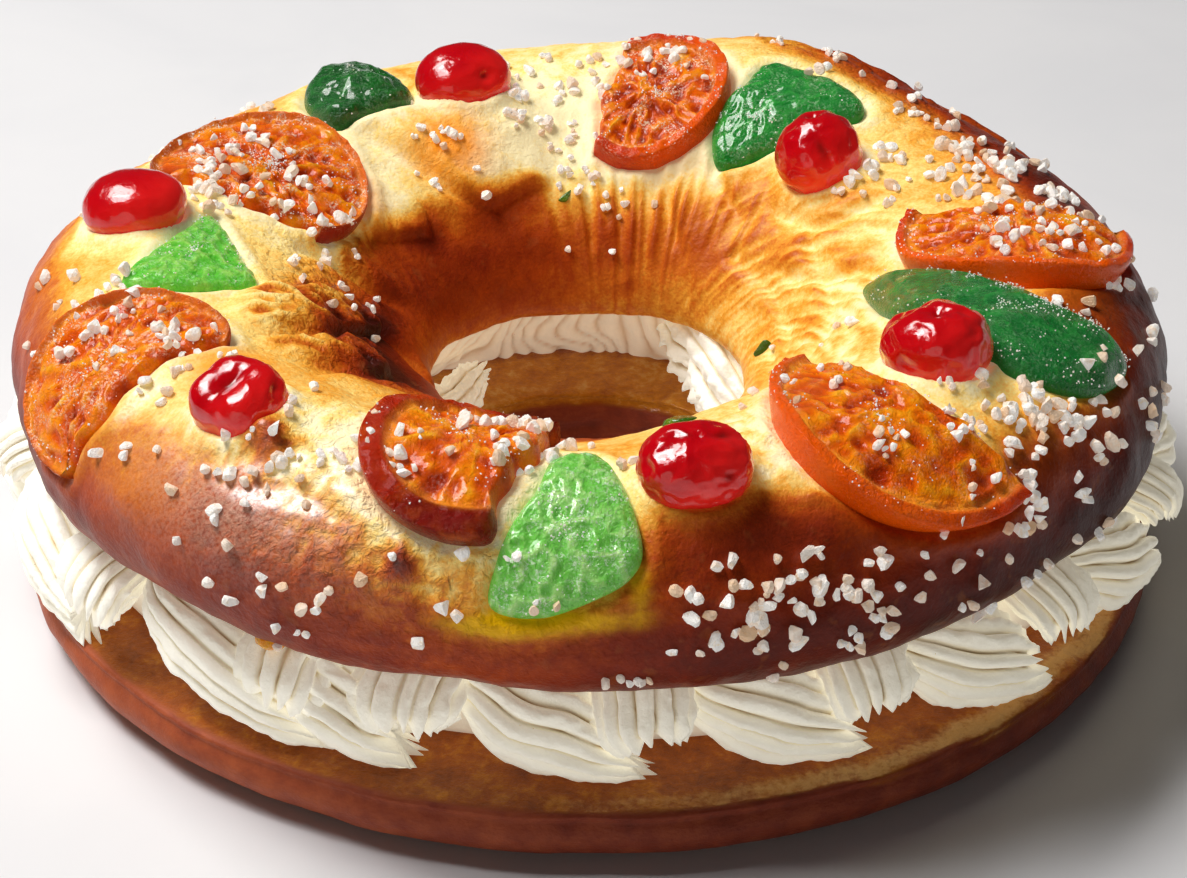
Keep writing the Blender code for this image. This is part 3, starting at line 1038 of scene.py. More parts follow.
@dataclass(frozen=True)
class Lobe:
    """A flap of dough that ends in a steep lip towards the hole.

    Attributes:
        corners: Its outline, as rows of (angle, across).
        rise: How far it stands up, in millimetres.
        lip: How much browner its lip is.
        wrinkles: The depth of the wrinkles on it, in millimetres.
        fade: The angle at which it has sunk back into the dough, or None.
    """

    corners: tuple
    rise: float
    lip: float
    wrinkles: float
    fade: float | None = None
    steps: int = 160

    def at(self, angle: Array, across: Array, points: Array) -> tuple[Array, Array]:
        """Returns the relief, and the extra browning with a painted shadow, at these places."""
        outline = Outline.smooth(self.corners, self.steps)
        gap = outline.gap(angle, across) + 0.9 * RELIEF.at(points, 5.0)
        inwards = ease(outline.middle[1] - across, -8.0, 10.0)
        inside = ease(-gap, -0.6, 9.0 - 6.5 * inwards)
        crease = bell(gap - 0.9, 1.1) * (0.3 + 0.7 * inwards)
        folds = 0.45 - 1.5 * np.abs(RELIEF.layered(points * np.array([0.7, 1.4, 1.0]), 5.5, 2))
        height = self.rise * (1.0 - (1.0 - inside) ** 2) - 0.35 * crease
        height = height + self.wrinkles * folds * inside
        if self.fade is not None:
            kept = ease(turn_between(angle, self.fade), 0.0, 9.0)
            height, inwards = height * kept, inwards * kept
        # Browning at the lip, a painted shadow just outside the edge under the flap, and darker
        # wrinkle hollows.
        browner = self.lip * bell(gap + 2.0, 2.2) * inwards + 0.2 * bell(gap - 2.4, 2.8) * inwards
        return height, browner - 0.30 * self.wrinkles * folds * inside


@dataclass(frozen=True)
class Streaks(Spot):
    """Stretch lines or small bumps in the dough; the amount is their depth.

    Attributes:
        slant: Degrees that the lines are turned from the way across.
        pitch: The lines' spacing in millimetres.
        length: How long one line is, in millimetres.
    """

    slant: float
    pitch: float
    length: float

    def relief(self, angle: Array, across: Array) -> tuple[Array, Array]:
        """Returns the lines' relief and how much browner they are."""
        degree = DOUGH.millimetres_per_degree(self.angle, self.across)
        x = turn_between(angle, self.angle) * degree
        y = across - self.across
        turn = math.radians(self.slant)
        u = x * math.cos(turn) - y * math.sin(turn)
        v = x * math.sin(turn) + y * math.cos(turn)
        place = spaced(u / self.pitch, v / self.length, self.angle)
        lines = 0.55 - 1.5 * np.abs(RELIEF.at(place, 1.0)) + RELIEF.at(place * 2.1 + 9.0, 1.0) * 0.4
        weight = bell(x, self.spread_angle * degree) * bell(y, self.spread_across)
        return self.amount * lines * weight, weight * lines


# ---- candied fruit


def rings(edge: float, inner: int, outer: int) -> Array:
    """Returns shares of an outline's size for the loops of a mesh, closer beyond the edge."""
    beyond = 1 - (1 - edge) * np.linspace(1, 0, outer) ** 2
    return np.concatenate([np.linspace(0.02, edge, inner), beyond])


@dataclass(frozen=True)
class Leaf:
    """A flat piece of green fruit: its corners are (angle, across)."""

    name: str
    corners: tuple
    thickness: float
    rise: float
    tone: GreenTone = GreenTone.MIDDLE
    bloom: float = 0.5
    lumps: float = 0.5
    wrinkles: float = 0.2
    steps: int = 132
    edge: float = 0.76
    inner_rings: int = 20
    outer_rings: int = 15
    sink: float = 1.6

    def outline(self) -> Outline:
        """Returns the outline on the crust."""
        return Outline.smooth(self.corners, self.steps)

    def sheet(self) -> MeshSheet:
        """Returns the piece's mesh: a rounded edge round a lumpy top."""
        outline = self.outline()
        shares = rings(self.edge, self.inner_rings, self.outer_rings)
        across_edge = np.clip((shares - self.edge + 0.02) / (1.02 - self.edge), 0.0, 1.0)
        edge = across_edge[:, None] + np.zeros(self.steps)
        angle, across = np.array([outline.scaled(share).T for share in shares]).swapaxes(0, 1)
        flat = around(angle, 100.0 + across, 0.0)
        high = 0.5 - 1.6 * np.abs(RELIEF.layered(flat, 2.7, 2))
        bumps = RELIEF.layered(flat, 7.0, 2) * self.lumps + self.wrinkles * high
        lift = rounded(edge, 2.4) * (self.thickness + self.rise * (1 - shares[:, None] ** 2))
        lift = lift + bumps * np.minimum(1.0, lift / self.thickness)
        return MeshSheet.lid(
            DOUGH.surface(angle, across, lift),
            DOUGH.surface(*outline.scaled(0.98).T, -self.sink),
            DOUGH.surface(*outline.middle, lift[0].mean()),
            DOUGH.surface(*outline.middle, -self.sink),
            {"edge": edge, "top": 1.0 - edge**4, "high": high},
        )

    def dress(self, placing: Placing) -> MeshSheet:
        """Makes the piece and returns its mesh, on which sugar can be laid."""
        sheet = self.sheet()
        material = GreenFinish(self.tone, self.bloom).build()
        sheet.make(self.name + "_skin", placing, material, "green_fruit", self.name)
        return sheet


@dataclass(frozen=True)
class Slice:
    """A half slice: angle and across give the middle of its straight side.

    Attributes:
        radius: The whole slice's radius in millimetres.
        depth: How far the rind is from the straight side, in millimetres.
        turn: Degrees that the rind's side is turned about the slice's middle.
        rind_width: The rind's width, as a share of the radius.
        hollow: How far the pulp lies below the rind, in millimetres.
        segments: How many segments of pulp the slice shows.
    """

    name: str
    angle: float
    across: float
    radius: float
    depth: float
    turn: float
    thickness: float
    rind: RindTone = RindTone.ORANGE
    rind_width: float = 0.10
    bloom: float = 0.5
    lumps: float = 0.8
    arc_steps: int = 104
    side_steps: int = 48
    edge: float = 0.80
    inner_rings: int = 26
    outer_rings: int = 22
    sink: float = 2.2
    hollow: float = 1.6
    segments: int = 5

    @property
    def centre(self) -> float:
        """Returns how far the round's centre is beyond the straight side."""
        return self.depth - self.radius

    def flat_outline(self) -> Array:
        """Returns the outline in the slice's own plane: x towards the rind."""
        reach = math.acos(-self.centre / self.radius)
        sweep = np.linspace(-reach, reach, self.arc_steps)
        arc_x = self.centre + self.radius * np.cos(sweep)
        arc_y = self.radius * np.sin(sweep)
        share = np.linspace(1.0, -1.0, self.side_steps + 2)[1:-1]
        side_y = arc_y[-1] * share
        side_x = 0.9 * np.sin(5.0 * share + self.angle) + 0.5 * np.sin(13.0 * share)
        return np.concatenate([np.stack([arc_x, arc_y], -1), np.stack([side_x, side_y], -1)])

    def placed(self, flat: Array) -> tuple[Array, Array]:
        """Returns the angle and the distance across of places in the slice's plane."""
        turn = math.radians(self.turn)
        x, y = flat[..., 0], flat[..., 1]
        degree = DOUGH.millimetres_per_degree(self.angle, self.across)
        angle = self.angle - (x * math.cos(turn) - y * math.sin(turn)) / degree
        return angle, self.across + x * math.sin(turn) + y * math.cos(turn)

    def outline(self) -> Outline:
        """Returns the outline on the crust."""
        return Outline.through(np.stack(self.placed(self.flat_outline()), axis=-1))

    def sheet(self) -> MeshSheet:
        """Returns the slice's mesh: a raised rind round lumpy pulp."""
        flat = self.flat_outline()
        middle = np.array([0.42 * self.depth, 0.0])
        shares = rings(self.edge, self.inner_rings, self.outer_rings)
        place = middle + (flat - middle) * shares[:, None, None]
        x, y = place[..., 0] - self.centre, place[..., 1]
        outward = np.hypot(x, y) / self.radius
        bearing = np.degrees(np.arctan2(y, x))
        inner = 1.0 - self.rind_width
        rind = ease(outward, inner - 0.015, inner + 0.015)
        pith = bell(outward - inner + 0.02, 0.022)
        gap = 180.0 / self.segments
        wander = 5.0 * RELIEF.at(spaced(*place.T, self.angle).swapaxes(0, 1), 9.0)
        off = np.abs((bearing + wander + gap / 2) % gap - gap / 2)
        membrane = bell(np.radians(off) * outward * self.radius, 0.5) * (1.0 - rind)
        grain = spaced(bearing * 0.16, outward * self.radius / 4.5, self.angle)
        flesh = spaced(*place.T, self.angle + 50).swapaxes(0, 1)
        sacs = 0.45 - 1.5 * np.abs(RELIEF.at(grain, 1.0))
        creases = 0.45 - 1.4 * np.abs(RELIEF.layered(flesh, 3.6, 2))
        high = (0.6 * sacs + 0.7 * creases) * (1.0 - rind)
        lumps = RELIEF.layered(flesh, 8.0, 2) * (1.0 - 0.7 * rind)
        level = self.thickness - self.hollow * (1.0 - rind)
        level = level + self.lumps * (1.25 * high + 0.5 * lumps) + 0.1 * membrane
        level = level + 0.45 * rind * RELIEF.layered(flesh, 2.6, 2)
        on_arc = np.arange(len(flat)) < self.arc_steps
        start = np.where(on_arc, 0.955, 0.86)[None, :]
        fall = np.clip((shares[:, None] - start) / (1.0 - start), 0.0, 1.0)
        blush = ease(np.abs(bearing), 55.0, 88.0)
        top = (1.0 - fall**3) * (1.0 - 0.55 * rind)
        return MeshSheet.lid(
            DOUGH.surface(*self.placed(place), level * rounded(fall, 2.6)),
            DOUGH.surface(*self.placed(middle + (flat - middle) * 0.985), -self.sink),
            DOUGH.surface(*self.placed(middle), self.thickness - self.hollow),
            DOUGH.surface(*self.placed(middle), -self.sink),
            {"rind": rind, "pith": pith, "membrane": membrane, "blush": blush, "top": top,
             "high": high},
        )

    def dress(self, placing: Placing) -> MeshSheet:
        """Makes the piece and returns its mesh, on which sugar can be laid."""
        sheet = self.sheet()
        material = OrangeFinish(self.rind, bloom=self.bloom).build()
        sheet.make(self.name + "_pulp", placing, material, "orange_slice", self.name)
        return sheet


@dataclass(frozen=True)
class Dent:
    """A hollow in a cherry.

    Attributes:
        bearing: Its direction seen from above, in degrees from the ring's own direction.
        tilt: Degrees down from the cherry's top.
        width: How wide it is, in degrees.
        depth: How deep it is, as a share of the cherry's radius.
        stretch: How many times longer it is than wide.
    """

    bearing: float
    tilt: float
    width: float
    depth: float
    stretch: float = 1.0

    def away(self, direction: Array) -> Array:
        """Returns how far directions are from the dent's middle, in degrees."""
        tilt = math.radians(self.tilt)
        pole = around(self.bearing, math.sin(tilt), math.cos(tilt))
        upward = around(self.bearing, -math.cos(tilt), math.sin(tilt))
        sideways = np.cross(pole, upward)
        aside = np.hypot(direction @ upward / self.stretch, direction @ sideways)
        return np.degrees(np.arctan2(aside, direction @ pole))


@dataclass(frozen=True)
class Cherry:
    """A cherry: its length runs along the ring and its breadth across it."""

    name: str
    angle: float
    across: float
    length: float
    breadth: float
    height: float
    dents: tuple = ()
    wrinkles: float = 0.03
    squareness: float = 2.15
    steps: int = 96
    rows: int = 50
    sink: float = 4.0
    waist: float = 0.86

    def outline(self) -> Outline:
        """Returns the outline on the crust, where the cherry goes into the dough."""
        sweep = np.radians(np.arange(48) * TURN / 48)
        degree = DOUGH.millimetres_per_degree(self.angle, self.across)
        angle = self.angle + self.waist * 0.5 * self.length * np.cos(sweep) / degree
        across = self.across + self.waist * 0.5 * self.breadth * np.sin(sweep)
        return Outline.through(np.stack([angle, across], axis=-1))

    def sheet(self) -> MeshSheet:
        """Returns the cherry's mesh: a squashed ball with dents and fine wrinkles."""
        normal, along = DOUGH.frame_at(self.angle, self.across)
        outwards = np.cross(along, normal)
        origin = DOUGH.surface(self.angle, self.across, 0.5 * self.height - self.sink)
        fall = np.radians(np.linspace(0.0, 180.0, self.rows + 2)[1:-1])[:, None]
        spin = np.radians(np.arange(self.steps) * TURN / self.steps)[None, :]
        direction = spaced(np.sin(fall) * np.cos(spin), np.sin(fall) * np.sin(spin), np.cos(fall))
        seed = np.array([self.angle, self.across, 0.0])
        scale = 1.0 + 0.045 * RELIEF.at(direction * 10 + seed, 9.0)
        folds = 0.4 - np.abs(RELIEF.layered(direction * 10 + seed, 4.0, 2))
        scale = scale + self.wrinkles * folds
        scale = scale / np.sum(np.abs(direction) ** self.squareness, axis=-1) ** (1 / self.squareness)
        scar = np.zeros(direction.shape[:2])
        for dent in self.dents:
            away = dent.away(direction)
            scale = scale - dent.depth * bell(away, dent.width)
            scar = np.maximum(scar, bell(away, 0.45 * dent.width))
        sizes = 0.5 * np.array([self.length, self.breadth, self.height])
        body = direction * scale[..., None] * sizes
        loops = origin + body @ np.stack([along, outwards, normal])
        top = origin + normal * sizes[2] * scale[0].mean()
        foot = origin - normal * sizes[2] * scale[-1].mean()
        facing = unit(body) @ np.stack([along, outwards, normal])
        # Painted light: strongest on the side that faces away from the key lamp.
        lit = 0.45 - 0.55 * facing @ TOWARDS_KEY
        return MeshSheet.capped(loops, top, foot, {"scar": scar, "lit": lit})

    def dress(self, placing: Placing) -> None:
        """Makes the piece."""
        self.sheet().make(self.name + "_skin", placing, CherryFinish().build(), "cherry",
                          self.name)


@dataclass
class Fruit:
    """Every piece of candied fruit on the crust."""

    cherries: tuple = (
        Cherry("cherry_left", 179.5, 3, 21, 23, 15, (Dent(200, 60, 16, 0.06),), 0.02),
        Cherry("cherry_back", 114, -16, 23, 20, 16, (Dent(250, 48, 8, 0.14),), 0.025),
        Cherry("cherry_left_front", 231, 10, 18.5, 17, 14,
               (Dent(95, 8, 13, 0.30, 2.6), Dent(250, 80, 14, 0.16), Dent(330, 62, 9, 0.12)),
               0.04, squareness=2.7),
        Cherry("cherry_front", 280.9, 10.2, 21.5, 17, 15,
               (Dent(262, 60, 7, 0.18), Dent(225, 20, 7, 0.05, 2.0), Dent(340, 30, 7, 0.07, 2.0),
                Dent(60, 60, 9, 0.08)), 0.08, squareness=2.35),
        Cherry("cherry_back_right", 36, -29, 20, 20, 19,
               (Dent(60, 26, 7, 0.18), Dent(200, 45, 9, 0.10, 2.4)), 0.05),
        Cherry("cherry_right", 319, -4, 21, 23, 17,
               (Dent(120, 12, 8, 0.22), Dent(290, 40, 9, 0.16, 2.8), Dent(20, 50, 8, 0.12, 2.4),
                Dent(240, 62, 8, 0.12, 2.4)), 0.07),
    )
    leaves: tuple = (
        Leaf("green_back",
             ((137, 0), (129, 8), (124.5, 4), (122.5, -10), (125, -17), (133, -17), (140, -15)),
             4.5, 1.5, GreenTone.DARK, 0.15, 1.3, 0.3),
        Leaf("green_left",
             ((177, -12), (181, -17), (189, -21), (198, -22), (200, -11), (199.5, -3),
              (197, 6), (191, -1), (183, -8)),
             2.1, 0.4, GreenTone.LIGHT, 0.5, 0.3, 0.45),
        Leaf("green_front",
             ((266.5, 3), (271, 2.5), (273.5, 11), (275, 24), (274, 30), (271, 34), (266, 38),
              (261.8, 36.5), (262, 28), (263, 21), (265, 13)),
             2.6, 0.4, GreenTone.FROSTED, 0.9, 0.35, 0.5),
        Leaf("green_right",
             ((353, -39), (353, -32), (347, -22), (340.5, -5), (337.5, 8), (337, 19),
              (336.5, 26), (331, 25), (326.5, 20), (323.5, 12), (323, 2), (326, -8),
              (337, -29)),
             3.6, 1.2, GreenTone.DEEP, 0.12, 0.5, 0.15),
        Leaf("green_back_right",
             ((62, -16), (61, -7), (53.5, -5), (44, -6), (41, -11), (44.5, -19), (48.5, -29),
              (53, -37), (58.5, -40), (63, -32), (63.5, -22)),
             3.2, 1.0, GreenTone.MIDDLE, 0.35, 0.6, 0.3),
    )
    slices: tuple = (
        Slice("orange_left_back", 169, -15, 25, 39, -4, 4.2, RindTone.PINK, 0.045, 1.0, 0.9),
        Slice("orange_left", 216.5, 17, 24, 32, -3, 4.0, RindTone.PINK, 0.045, 0.6, 0.9),
        Slice("orange_front_left", 263.5, 5.5, 22.5, 32, -14, 6.5, RindTone.RED, 0.22, 0.12, 0.8),
        Slice("orange_back", 87, -22, 21, 30, -10, 5.5, RindTone.ORANGE, 0.16, 0.9, 0.8),
        Slice("orange_front_right", 309.5, 4, 28, 31, 11, 6.0, RindTone.ORANGE, 0.11, 0.15, 0.85),
        Slice("orange_right_back", 4, -2, 25, 34, -14, 5.5, RindTone.ORANGE, 0.11, 0.3, 0.9),
    )
    # How thickly fine crystals lie on each leaf and each slice, in their order.
    frosting: tuple = (0.05, 0.2, 0.12, 0.7, 0.25, 0.3, 0.3, 0.12, 0.2, 0.2, 0.25)
    bits: tuple = (
        Leaf("bit_back", ((100, -53), (97, -51), (95.5, -50.5), (97.5, -53.5)), 0.9, 0.3,
             steps=40),
        Leaf("bit_right", ((1, -70), (-1, -68), (0, -65), (1.5, -66)), 1.0, 0.3, steps=40),
        Leaf("bit_front", ((286, -19), (283, -18), (281, -21), (284, -24)), 1.1, 0.3, steps=40),
    )
    drip: Leaf = Leaf("drip", ((237.4, 60), (239, 57.5), (240.8, 59.5), (240, 62), (238, 63)),
                      1.6, 0.8, steps=48)

    def outlines(self) -> list[Outline]:
        """Returns the outlines of all pieces on the crust."""
        return [item.outline() for item in (*self.cherries, *self.leaves, *self.slices)]

    def dress(self, placing: Placing) -> list[MeshSheet]:
        """Makes every piece and returns the meshes of the sugared ones."""
        for cherry in self.cherries:
            cherry.dress(placing)
        bits = MeshSheet.joined(bit.sheet() for bit in self.bits)
        material = GreenFinish(GreenTone.OLIVE, 0.1).build()
        bits.make("green_bits", placing, material, "green_fruit")
        syrup_and_glow = ((0.0, srgb(240, 140, 10)), (1.0, srgb(255, 200, 50)))
        material = OrangeFinish(RindTone.ORANGE, syrup_and_glow).build()
        self.drip.sheet().make("amber_drip", placing, material, "orange_slice")
        return [item.dress(placing) for item in (*self.leaves, *self.slices)]


# ---- bread


@dataclass
class Crust:
    """The crown: its dough's folds and stretch lines, and where it is browned.

    Attributes:
        outlines: The fruit's outlines on the crust, the cherries' first.
        cherries: How many cherries there are.
        rows: How many rows of points the mesh has round the ring.
        visible: The distances across between which the mesh is fine.
    """

    outlines: list[Outline]
    cherries: int
    rows: int = 620
    visible: tuple[float, float] = (-84.0, 70.0)
    visible_columns: int = 128
    hidden_columns: int = 11
    least_shine: float = 0.05
    folds: tuple = (
        # The dark wall at the back left of the hole.
        Fold(((176, -30), (172, -38), (170, -52), (166, -64)), 1.8, 1.5, 1.6),
        Fold(((184, -50), (190, -64), (200, -70)), 1.6, 1.3, 1.2),
        # The left edge of the tongue of dough at the back.
        Fold(((138, -20), (134.5, -31), (130, -42), (126, -49)), 1.0, 1.3, 1.2),
        # Stretch wrinkles on the back wall of the hole.
        Fold(((85, -41), (82, -50), (80, -64)), 0.9, 1.0, 0.6),
        Fold(((75, -40), (68, -52), (59, -63)), 1.0, 1.1, 0.7),
        Fold(((63, -39), (56, -44), (46, -50)), 1.0, 1.1, 0.7),
        Fold(((92, -46), (90, -56), (90, -66)), 0.7, 1.0, 0.4),
        # The streaked lobe right of the hole.
        Fold(((42.5, -45), (30, -44), (22, -39.5), (18, -23)), 1.3, 1.4, 1.3),
        Fold(((30, -57), (16, -53), (7, -45), (2, -33)), 1.2, 1.3, 1.1),
        Fold(((14, -67), (4, -60), (356, -48), (350, -44)), 1.1, 1.3, 1.0),
        # The ridge at the back right.
        Fold(((66.5, 2.5), (61.5, 11.5), (52.5, 15), (43.5, 8)), 1.2, 1.5, 1.3),
        Fold(((40, 12), (30, 20), (18, 24)), 1.0, 1.6, 0.8),
        Fold(((142, -2), (150, 8), (160, 12)), 1.0, 1.6, 0.8),
        Fold(((236, 26), (242, 22), (248, 26)), 0.7, 1.4, 0.6),
    )
    lobes: tuple = (
        Lobe(((139, -15), (137, -20), (133, -32), (128, -45), (121, -51), (112, -50),
              (104, -49), (96, -47), (90, -36), (98, -20), (125, -16)), 2.1, 0.22, 0.15, 98),
        Lobe(((143, -28), (140, -36), (138.5, -46), (141, -52), (148, -50), (156, -44),
              (161, -37), (158, -28), (150, -25)), 2.0, 0.15, 0.35),
        Lobe(((202, -16), (191, -34), (184, -50), (187, -56), (195, -52), (204, -41),
              (211, -34), (213, -25), (213, -14), (207, -12)), 2.4, 0.15, 1.3),
        Lobe(((215, -14), (221, -19), (223, -30), (224, -40), (216, -48), (206, -50),
              (206, -43), (212, -35), (215, -26)), 1.9, 0.15, 1.3),
        Lobe(((226, -18), (225, -34), (226, -45), (233, -50), (241, -45), (244, -34),
              (238, -20)), 1.5, 0.10, 0.35),
    )
    streaks: tuple = rows_of(
        Streaks,
        (70, -52, 22, 14, 1.0, 8, 2.6, 22), (20, -48, 26, 18, 0.5, -38, 2.0, 20),
        (350, -46, 18, 16, 0.45, -55, 2.2, 18), (163, -40, 10, 12, 0.7, -30, 2.6, 14),
        (52, 10, 16, 10, 0.8, 78, 3.0, 16), (165, 18, 14, 10, 0.6, 70, 3.0, 16),
        (253, 8, 9, 12, 0.9, 0, 3.6, 4.2), (292, 4, 9, 9, 0.7, 0, 3.6, 4.2),
        (255, 28, 14, 16, 0.7, 0, 2.4, 2.8), (240, 16, 12, 12, 0.4, 0, 2.6, 3.0),
        (292, -4, 10, 14, 0.35, 0, 2.6, 3.0), (330, -30, 14, 12, 0.6, -60, 3.2, 12),
        (105, -10, 20, 16, 0.6, 0, 4.0, 5.0),
    )
    browning: tuple = rows_of(
        Spot,
        # Golden or dark places; a negative amount is paler.
        (150, -60, 46, 9, 0.36), (226, 40, 10, 12, -0.10), (28, 14, 16, 10, 0.22),
        (16, -10, 10, 8, 0.10), (355, 22, 12, 12, 0.25), (193, 22, 14, 10, 0.14),
        (30, -30, 10, 10, 0.08), (214, -54, 16, 14, 0.52), (178, -50, 14, 9, 0.22),
        (60, -60, 20, 12, 0.16), (268, -46, 12, 10, 0.50), (125, -41, 18, 6, -0.22),
        (90, -40, 18, 14, -0.20), (48, -44, 9, 9, 0.20), (60, -28, 10, 12, -0.20),
        (103, -18, 16, 14, -0.14), (150, -30, 26, 10, -0.10), (196, -32, 12, 8, 0.12),
        (222, -33, 10, 9, 0.26), (232, -6, 8, 10, 0.12),
        (195, 34, 18, 12, -0.06), (222, 34, 12, 12, 0.04), (118, -70, 32, 10, 0.24),
        (272, -6, 7, 8, 0.16), (125, -34, 7, 8, 0.12), (238, 31, 8, 7, 0.22),
        (262, 42, 8, 12, -0.22), (253, 24, 7, 9, -0.10), (228, 46, 14, 12, -0.06),
        (250, 46, 10, 10, -0.06), (284, 22, 10, 7, 0.34), (300, 24, 12, 8, 0.18),
        (318, 42, 24, 16, 0.06), (340, 42, 20, 16, 0.16), (256, 10, 9, 12, -0.14),
        (298, 3, 9, 7, -0.06), (237.0, 14, 2.1, 2.8, 0.48), (249, 8, 9, 9, -0.14),
        (293, 3, 8, 8, -0.10), (254.1, 30, 0.9, 1.6, 0.60), (344, 12, 8, 9, 0.45),
        (12, 11, 12, 7, 0.50), (32, 12, 12, 8, 0.22), (52, 12, 10, 9, 0.36),
        (122, -8, 8, 6, 0.25), (140, 12, 14, 8, 0.14),
    )
    stain: tuple = rows_of(
        Spot,
        # Where syrup has run from the green slice at the front.
        (262, 39.8, 3.0, 1.6, 1.3), (268.5, 38.4, 4.2, 1.7, 1.3), (274.6, 32, 0.8, 4, 0.8),
        (266, 43, 5, 2.4, 0.10),
    )
    amber: tuple = rows_of(
        Spot,
        # Syrup, and painted light glowing from the orange slices beside them.
        (153, -32, 5, 8, 0.9), (124, -35, 7, 8, 0.9), (222, 0, 4, 8, 0.8),
        (226, 30, 4, 7, 0.35), (248, 14, 3, 12, 0.3), (300, -16, 7, 5, 0.3),
        (345, -50, 12, 14, 0.25), (60, -50, 14, 14, 0.25), (345, 4, 5, 12, 0.3),
    )
    shine: tuple = rows_of(
        Spot,
        # Where the egg wash is thick enough to gleam.
        (235, 25, 15, 9, 1.0), (205, 18, 14, 10, 0.15), (300, 26, 16, 8, 0.15),
    )
    haze: tuple = rows_of(
        Spot,
        # Painted sheen: where a pale, grainy highlight is painted on the crust.
        (235, 29, 7, 6, 0.8), (243, 27, 6, 5, 0.5), (229, 24, 5, 4, 0.3),
    )
    bumpy: tuple = rows_of(
        Spot,
        # Where the crust is puckered into small bumps.
        (255, 26, 12, 16, 1.0), (292, -6, 10, 14, 0.5), (212, -36, 24, 16, 0.9),
        (124, -34, 12, 12, 0.4), (240, 10, 12, 14, 0.5), (40, 4, 30, 14, 0.7),
        (176, -42, 12, 12, 0.7),
    )
    bumps: tuple = rows_of(
        Spot,
        # Single swellings under the skin, by their height in millimetres.
        (236, 38, 15, 10, 3.2), (237.0, 14, 1.3, 2.2, 3.6), (254.1, 29.7, 0.7, 1.2, 1.8),
    )

    def across_stops(self) -> Array:
        """Returns the distances across at which the mesh has points."""
        low, high = self.visible
        return np.concatenate([
            np.linspace(SECTION_ACROSS[-1], low, self.hidden_columns, endpoint=False),
            np.linspace(low, high, self.visible_columns, endpoint=False),
            np.linspace(high, SECTION_ACROSS[0], self.hidden_columns, endpoint=False),
        ])

    @staticmethod
    def side_tone(across: Array) -> Array:
        """Returns how browned the crust is, from its height on the ring alone."""
        outer = 0.16 + 0.34 * ease(across, 14.0, 32.0) + 0.36 * ease(across, 28.0, 48.0)
        return outer + 0.10 * ease(-across, 40.0, 60.0)

    def relief(self, angle: Array, across: Array) -> tuple[Array, Array]:
        """Works out the crust's relief and tone.

        Args:
            angle: Degrees round the ring, one for each point.
            across: Millimetres from the ridge, one for each point.

        Returns:
            The relief in millimetres and the browning.
        """
        points = DOUGH.surface(angle, across)
        normals = unit(DOUGH.surface(angle, across, 1.0) - points)
        height = RELIEF.layered(points, 30.0) * 1.1 + RELIEF.layered(points, 8.0) * 0.32
        tone = self.side_tone(across) + total(self.browning, angle, across)
        for streaks in self.streaks:
            lines, strength = streaks.relief(angle, across)
            height += lines
            tone = tone + 0.20 * strength
        for fold in self.folds:
            rise = fold.height(points, normals)
            height += rise
            tone = tone + np.clip(0.07 * rise, -0.10, 0.12)
        gaps = np.array([outline.gap(angle, across) for outline in self.outlines])
        gap = gaps.min(axis=0)
        cherry_gap = gaps[:self.cherries].min(axis=0)
        inside = ease(-gap, -1.0, 1.5)
        height = height * (1.0 - inside) - 0.8 * inside
        height += 0.9 * bell(gap - 2.6, 1.5) - 0.5 * bell(gap - 0.2, 0.8)
        height += total(self.bumps, angle, across) + 1.5 * bell(cherry_gap - 1.2, 1.3)
        tone = tone - 0.16 * bell(np.maximum(gap, 0.0), 3.0)
        for lobe in self.lobes:
            rise, browning_and_shade = lobe.at(angle, across, points)
            height += rise
            tone = tone + browning_and_shade
        return height, tone

    def dress(self, placing: Placing) -> None:
        """Makes the crust."""
        angle = np.arange(self.rows) * TURN / self.rows
        stops = self.across_stops()
        angle, across = (each.ravel() for each in np.meshgrid(angle, stops, indexing="ij"))
        height, tone = self.relief(angle, across)
        under = ease(across, 66.0, 76.0) + ease(-across, 80.0, 90.0)
        height = height * (1.0 - under)
        tone = tone * (1.0 - under) + 0.12 * under
        sheet = MeshSheet(
            DOUGH.surface(angle, across, height),
            [MeshSheet.grid_faces(self.rows, len(stops), True, True)],
            {"browning": np.clip(tone, 0.0, 1.05)},
        )
        for look in ("stain", "amber", "bumpy", "haze", "shine"):
            sheet.values[look] = total(getattr(self, look), angle, across)
        sheet.values["shine"] += self.least_shine
        sheet.make("crown_crust", placing, CrustFinish().build(), "crust", "crown")


